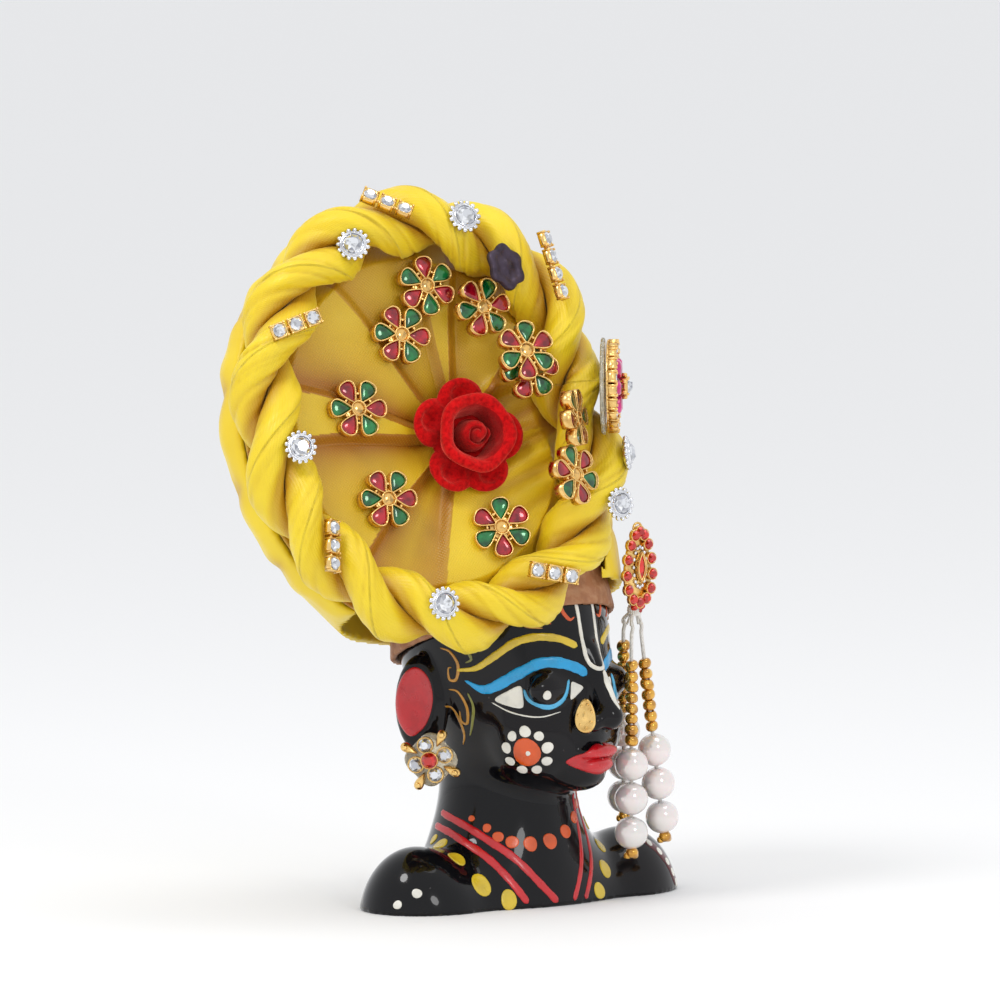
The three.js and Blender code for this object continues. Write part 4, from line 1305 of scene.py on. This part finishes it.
def make_rose():
    origin, *_ = seat_of("rose_outer_petals", FAN_OUT)
    axes = (origin, FAN_RIGHT, FAN_UP, FAN_OUT)
    step = 0.17 * FINE

    def outer(x, y, z):
        d = blob(x, y, z, [0, 0, 1.2], [6.4, 6.4, 1.6])
        for a in ROSE_ANGLES:
            c, s = math.cos(math.radians(a)), math.sin(math.radians(a))
            u, v = x * c + y * s, -x * s + y * c
            lobe = blob(u, v, z - 0.2 * (u - 6), [6.6, 0, 1.7], [3.9, 4.4, 1.5])
            lobe = carve(lobe, blob(u, v, z, [7.4, 0, 3.4], [1.9, 2.2, 1.5]), 0.8)
            d = join(d, lobe, 0.35)
        return np.maximum(d, -z)

    def inner(x, y, z):
        r, a = np.hypot(x, y), np.arctan2(y, x)
        wall = 5.0 + 0.22 * np.cos(5 * a + 0.6) + 0.26 * (z - 2.5)
        ring = np.hypot((r - wall) / 1.1, (z - 2.7) / 2.9) - 1
        lip = np.hypot(r - wall - 0.3, z - 4.9 - 0.25 * np.cos(3 * a)) - 1.1
        return np.maximum(join(ring * 1.3, lip, 0.9), -z)

    def bud(x, y, z):
        r, a = np.hypot(x, y), np.arctan2(y, x)
        body = blob(x, y, z, [0.1, 0.1, 1.6], [3.0 + 0.3 * np.cos(4 * a), 3.0, 4.5])
        fold = 0.5 + 0.5 * np.cos(a - 3.1 * r + 0.4)
        return np.maximum(body + 0.85 * fold**3 * smooth(r / 0.7) * smooth((z - 0.6) / 2), -z)

    for name, node, distance, low, high, lift in (
        ("rose_petals_outer", "rose_outer_petals", outer, (-11, -11, -0.5), (11, 11, 5), 0.0),
        ("rose_petals_inner", "rose_inner_petals", inner, (-8, -8, -0.5), (8, 8, 7.5), 1.9),
        ("rose_bud_folded", "rose_bud", bud, (-5, -5, -0.5), (5, 5, 6.9), 2.0),
    ):
        verts, quads = sdf_mesh(low, high, step, distance)
        wave = np.sin(verts[:, 0] * 2.3 + verts[:, 1]) * np.sin(verts[:, 1] * 2.1 - verts[:, 2])
        verts[:, 2] += 0.07 * wave
        radius = np.hypot(verts[:, 0], verts[:, 1])
        turn = np.arctan2(verts[:, 1], verts[:, 0]) - 3.1 * radius + 0.4
        # Painted shade: darker in the bud's spiral folds, inside the cup of inner petals and round the
        # inner petals' foot on the outer ones.
        fold_shade = 0.25 + 0.6 * (0.5 + 0.5 * np.cos(turn)) ** 2
        shade = {
            "rose_bud": fold_shade, "rose_inner_petals": np.where(radius < 4.9, 0.75, 0.0)
        }.get(node, np.exp(-((radius - 6) / 1.6) ** 2) * 0.5)
        form = Form().add(verts, quads, shade=shade, axes=shift(axes, z=lift))
        rose = form.make(name, [FLOCK], "turban", "flock", node)


make_rose()

# ---------------------------------------------------------------- brooch


def make_brooch():
    plate_axes = seat_of("brooch_plate", FAN_OUT)
    plate_axes = (plate_axes[0], *_upright(plate_axes[3]))
    t = np.arange(96) / 96 * TAU
    outline = (8.3 + 0.3 * np.cos(16 * t))[:, None] * np.stack([np.cos(t), np.sin(t)], 1)
    rows = [
        np.concatenate([outline * g, np.full((96, 1), z)], 1) for g,
        z in ((0.02, 0), (0.97, 0), (1, 0.2), (1, 0.6), (0.97, 0.8), (0.02, 0.8))
    ]
    Form().add(*loft(rows), axes=plate_axes).make(
        "brooch_backing", [PLASTIC], "turban", "clear_plastic", "brooch_plate"
    )
    ring = Form()
    count = 20
    base = shift(plate_axes, z=1.1)
    ring.add(*revolve([(6.1, 0), (8.2, 0), (8.2, 0.35), (6.1, 0.35), (6.1, 0)][:4], 40), 0, axes=base)
    for k in range(count):
        seat = shift(shift(base, turn=k * TAU / count), 7.1, z=0.2)
        square_cup(ring, seat, 2.05, 1.6)
        add_gem(ring, shift(seat, z=1.0), 0.95, 0.75, 1 + (k % 3 == 0), sides=6)
    ring.make("brooch_ring_set", [GOLD, HONEY, CLEAR], "turban", "gold", "brooch_stone_ring")
    flower = Form()
    flower.add(*revolve(rounded_profile(2.2, 0, 1.4, 0.3), 20), 1, axes=base)
    for k in range(6):
        petal = teardrop(5.3, 1.2, 1.75, 26)
        rings = [(1.0, 0.5), (1.04, 1.3), (0.96, 2.2), (0.75, 2.55), (0.4, 2.45), (0.05, 2.35)]
        centre = petal.mean(0)
        rows = [np.concatenate([centre + (petal - centre) * g, np.full((26, 1), z)], 1) for g, z in rings]
        flower.add(*loft(rows), 0, axes=shift(base, turn=k * TAU / 6))
    flower.make("brooch_flower_pink", [PINK, GOLD], "turban", "pink_enamel", "brooch_flower")
    heart = Form()
    top = shift(base, z=2.6)
    square_cup(heart, top, 3.0, 1.0)
    add_gem(heart, shift(top, z=0.6), 1.5, 1.2, 1)
    for k in range(6):
        heart.add(
            *revolve(rounded_profile(0.42, -0.3, 0.9, 0.3), 8), 0,
            axes=shift(shift(top, turn=(k + 0.5) * TAU / 6), 1.9)
        )
    heart.make("brooch_centre", [GOLD, CLEAR], "turban", "clear_stone", "brooch_stone")


def _upright(z):
    x = unit(np.cross([0, 0, 1.0], z))
    return x, np.cross(z, x), z


make_brooch()

# ---------------------------------------------------------------- pendant


def make_pendant():
    origin, _, _, z = seat_of("pendant_frame", [0.3, -1, 0])
    axes = (origin, *_upright(z))
    form = Form()
    t = np.arange(48) / 48 * TAU
    squeeze = 1 - 0.22 * np.sin(t)
    outline = np.stack([3.0 * np.cos(t) * squeeze, 6.6 * np.sin(t) + 0.3], 1)
    plate = [
        np.concatenate([outline * g, np.full((48, 1), h)], 1) for g,
        h in ((0.02, 0.1), (1.0, 0.1), (1.02, 0.5), (0.98, 0.75), (0.02, 0.75))
    ]
    form.add(*loft(plate), 0, axes=axes)
    count = 14
    for k in range(count):
        a = TAU * (k + 0.5) / count
        seat = shift(axes, 2.95 * math.cos(a) * (1 - 0.22 * math.sin(a)), 6.3 * math.sin(a) + 0.3, 0.6)
        add_cup(form, seat, 1.12, 0.75, 0, 12)
        add_gem(form, shift(seat, z=0.4), 0.98, 0.85, 1)
    for k in range(16):
        a = TAU * k / 16
        seat = shift(axes, 1.45 * math.cos(a), 3.6 * math.sin(a) + 0.3, 0.7)
        form.add(
            *revolve(
                [(0.42 * math.cos(b), 0.3 + 0.42 * math.sin(b)) for b in np.linspace(-1.5, 1.5, 6)], 8
            ),
            2, axes=seat
        )
    for k, (dx, dy) in enumerate(((0.9, -7.4), (0.2, -8.1), (-0.8, -7.5))):
        add_gem(form, shift(axes, dx, dy + 0.7, 0.3), 0.8, 0.9, 1, 0.8)
    loop = [
        (0.95 * math.cos(a), 7.15 + 0.95 * math.sin(a), 0.45)
        for a in np.linspace(0, TAU, 20, endpoint=False)
    ]
    form.add(*tube(loop, 0.22, 8, True), 0, axes=axes)
    form.make("pendant_jewel", [GOLD, RUBY, SILVER], "pendant", "red_stone", "pendant_frame")
    heart = Form()
    seat = shift(axes, 0, 0.3, 1.0)
    t = np.arange(24) / 24 * TAU
    cell = np.stack([0.95 * np.cos(t) * (1 - 0.5 * np.abs(np.sin(t)) ** 2), 2.5 * np.sin(t)], 1)
    add_cell(heart, seat, cell, 0.9, 1)
    heart.make("pendant_heart", [GOLD, RUBY], "pendant", "red_stone", "pendant_stone")


make_pendant()

# ---------------------------------------------------------------- bead strands

PEARL_BEAD = {
    "rim": (0.62, 2.72), "inner": 0, "bulge": 2.98, "tall": 2.92, "reach": 1.30, "rows": 15, "sides": 32
}
SEED_BEAD = {
    "rim": (0.5, 0.75), "inner": 0.5, "bulge": 0.72, "tall": 0.95, "reach": 1.35, "rows": 9, "sides": 16
}
SEED_PITCH = 1.9
THREAD_RADIUS = 0.35


def bead(rim, inner, bulge, tall, reach, rows, sides):
    """A bead turned about Z: its hole's rim as (radius, height), and a side that bulges out from inner."""
    radius, height = rim
    side = [(inner + bulge * math.cos(a), tall * math.sin(a)) for a in np.linspace(-reach, reach, rows)]
    return revolve([(radius, -height), *side, (radius, height)], sides)


def strand_parts(word):
    body = f"strand_{word}"
    p = node_points(f"{body}_thread")
    low, high = p[p[:, 2] < p[:, 2].min() + 2.5].mean(0), p[p[:, 2] > p[:, 2].max() - 0.6].mean(0)
    up = unit(high - low)
    axes = (low, *_upright_axis(up))
    for i in (1, 2, 3):
        node = f"{body}_pearl_{i}"
        q = node_points(node)
        middle = (q.min(0) + q.max(0)) / 2
        seat = (middle, *axes[1:])
        verts, faces = bead(**PEARL_BEAD)
        wave = 1 + 0.008 * np.sin(verts[:, 0] * 1.3 + i) * np.sin(verts[:, 2] * 1.1 + 2 * i)
        form = Form().add(verts * wave[:, None], faces, axes=seat)
        form.make(f"{node}_bead", [PEARL], body, "pearl", node)
    q = node_points(f"{body}_seed_beads")
    along = (q - low) @ up
    count = max(3, round((along.max() - along.min()) / SEED_PITCH))
    form = Form()
    for k in range(count):
        z = along.min() + (k + 0.5) * (along.max() - along.min()) / count
        tilt = rng.uniform(-0.18, 0.18, 2)
        verts, faces = bead(**SEED_BEAD)
        verts = verts * rng.uniform(0.92, 1.05)
        verts[:, 2] += verts[:, 0] * tilt[0] + verts[:, 1] * tilt[1]
        form.add(verts, faces, axes=shift((low, *axes[1:]), z=z))
    seeds = form.make(f"{body}_seeds", [AMBER], body, "amber", f"{body}_seed_beads")
    bottom = Form()
    for k, (dx, r) in enumerate(((0.0, 1.15), (0.7, 0.75), (-0.65, 0.7))):
        verts, faces = bead((0.3, 0.7 * r), 0.3, r - 0.3, 0.8 * r, 1.35, 9, 14)
        bottom.add(verts, faces, axes=shift(axes, dx, 0.25 * k - 0.2, z=0.1 + 0.5 * (k == 0)))
    end = bottom.make(f"{body}_end_beads", [AMBER], body, "amber")
    foot, top = low + up * 0.3, high
    span = np.linalg.norm(top - foot)
    t = np.linspace(0, 1, 40)
    line = foot + (top - foot) * t[:, None]
    loose = smooth((t - 0.93) / 0.05) * (1 - smooth((t - 0.985) / 0.015))
    line = line + np.outer(0.35 * np.sin(t * 60) * loose, axes[1])
    verts, faces = tube(line, THREAD_RADIUS, 10)
    v = np.repeat(t * span, 10)
    u = np.tile(np.arange(10) / 10 * 2.2, 40)
    form = Form().add(verts, faces, uv=np.stack([u, v], 1))
    thread = form.make(f"{body}_cotton", [THREAD], body, "thread", f"{body}_thread")


def _upright_axis(z):
    x = unit(np.cross([0, 1.0, 0], z))
    return x, np.cross(z, x), z


for word in ("front", "side", "back"):
    strand_parts(word)


def make_tassel_knot():
    """The wound knot under the pendant that the strands' threads come out of."""
    knot = np.array([15.7, -16.4, 51.6])
    form = Form()
    a = np.linspace(0, 5 * TAU, 200)
    wound = np.stack(
        [1.05 * np.cos(a), 1.05 * np.sin(a), (a / a[-1] - 0.5) * 2.2], 1
    ) * (1 - 0.3 * (2 * a / a[-1] - 1) ** 2)[:, None]
    form.add(*tube(knot + wound, 0.33, 8))
    for word in ("front", "side", "back"):
        p = node_points(f"strand_{word}_thread")
        top = p[p[:, 2] > p[:, 2].max() - 0.4].mean(0)
        middle = (knot + top) / 2 + unit(top - knot) * np.array([0.5, 0.5, 0])
        form.add(
            *tube(spline([knot + [0, 0, 0.3], middle, top + [0, 0, 0.1], top - [0, 0, 0.6]], 8), 0.34, 8)
        )
    for k in range(4):
        turn = TAU * (k + 0.3) / 4
        tail = [
            knot, knot + [0.9 * math.cos(turn), 0.9 * math.sin(turn), -1.2],
            knot + [1.5 * math.cos(turn), 1.5 * math.sin(turn), -2.6]
        ]
        form.add(*tube(spline(tail, 6), 0.22, 6))
    form.make("tassel_knot", [THREAD], "pendant", "thread")


make_tassel_knot()

# ---------------------------------------------------------------- earrings and nose leaf


def make_earrings():
    for word, side in (("right", -1), ("left", 1)):
        toward = head_to_world(np.array([side, -0.55, 0]))
        origin, _, _, z = seat_of(f"earring_{word}_mount", toward)
        axes = (origin, *_upright(z))
        form = Form()
        t = np.arange(48) / 48 * TAU
        outline = (4.3 + 0.4 * np.cos(4 * t))[:, None] * np.stack([np.cos(t), np.sin(t)], 1)
        rows = [
            np.concatenate([outline * g, np.full((48, 1), h)], 1) for g,
            h in ((0.02, 0), (1.0, 0), (1.02, 0.35), (0.95, 0.55), (0.02, 0.55))
        ]
        form.add(*loft(rows), 2, axes=axes)
        for k in range(4):
            a = TAU * (k + 0.22) / 4
            seat = shift(shift(axes, turn=a), 2.75, z=0.5)
            add_cup(form, seat, 1.5, 0.8, 0, 16)
            add_gem(form, shift(seat, z=0.45), 1.3, 1.0, 1)
            lobe = shift(shift(axes, turn=a + TAU / 8), 4.1, z=0.4)
            drop = teardrop(1.75, -1.5, 1.15, 20)
            rings = [(1.0, 0), (1.04, 0.4), (0.9, 0.9), (0.55, 1.2), (0.05, 1.3)]
            form.add(
                *loft([np.concatenate([drop * g, np.full((20, 1), h)], 1) for g, h in rings]), 0, axes=lobe
            )
            form.add(*revolve(rounded_profile(0.55, 0, 1.75, 0.4), 10), 0, axes=shift(lobe, 0.9))
        form.make(f"earring_{word}_flower", [GOLD, CLEAR, PLASTIC], "bust", "gold", f"earring_{word}_mount")
        heart = Form()
        top = shift(axes, z=1.5)
        add_cup(heart, top, 1.6, 0.7, 0, 16)
        add_gem(heart, shift(top, z=0.4), 1.42, 1.1, 1)
        heart.make(f"earring_{word}_heart", [GOLD, RUBY], "bust", "red_stone", f"earring_{word}_stone")


make_earrings()


def make_nose_leaf():
    origin, _, _, z = seat_of("nose_leaf", head_to_world(np.array([-1, -0.4, 0])))
    axes = (origin, *_upright(z))
    form = Form()
    t = np.arange(30) / 30 * TAU
    outline = np.stack([1.85 * np.cos(t) * (1 - 0.25 * np.sin(t)), 3.0 * np.sin(t)], 1)
    rows = []
    for g, h in (
        (0.02, 0), (1.0, 0), (1.04, 0.2), (0.92, 0.5), (0.8, 0.32), (0.55, 0.5), (0.35, 0.34), (0.15, 0.62),
        (0.02, 0.66)
    ):
        rows.append(np.concatenate([outline * g, np.full((30, 1), h)], 1))
    form.add(*loft(rows), 0, axes=axes)
    for k in range(7):
        a = TAU * k / 7 + 0.4
        form.add(
            *revolve(rounded_profile(0.3, 0, 0.55, 0.22), 8), 0,
            axes=shift(axes, 1.25 * math.cos(a), 2.1 * math.sin(a))
        )
    form.make("nose_leaf_stamped", [GOLD], "bust", "gold", "nose_leaf")


make_nose_leaf()
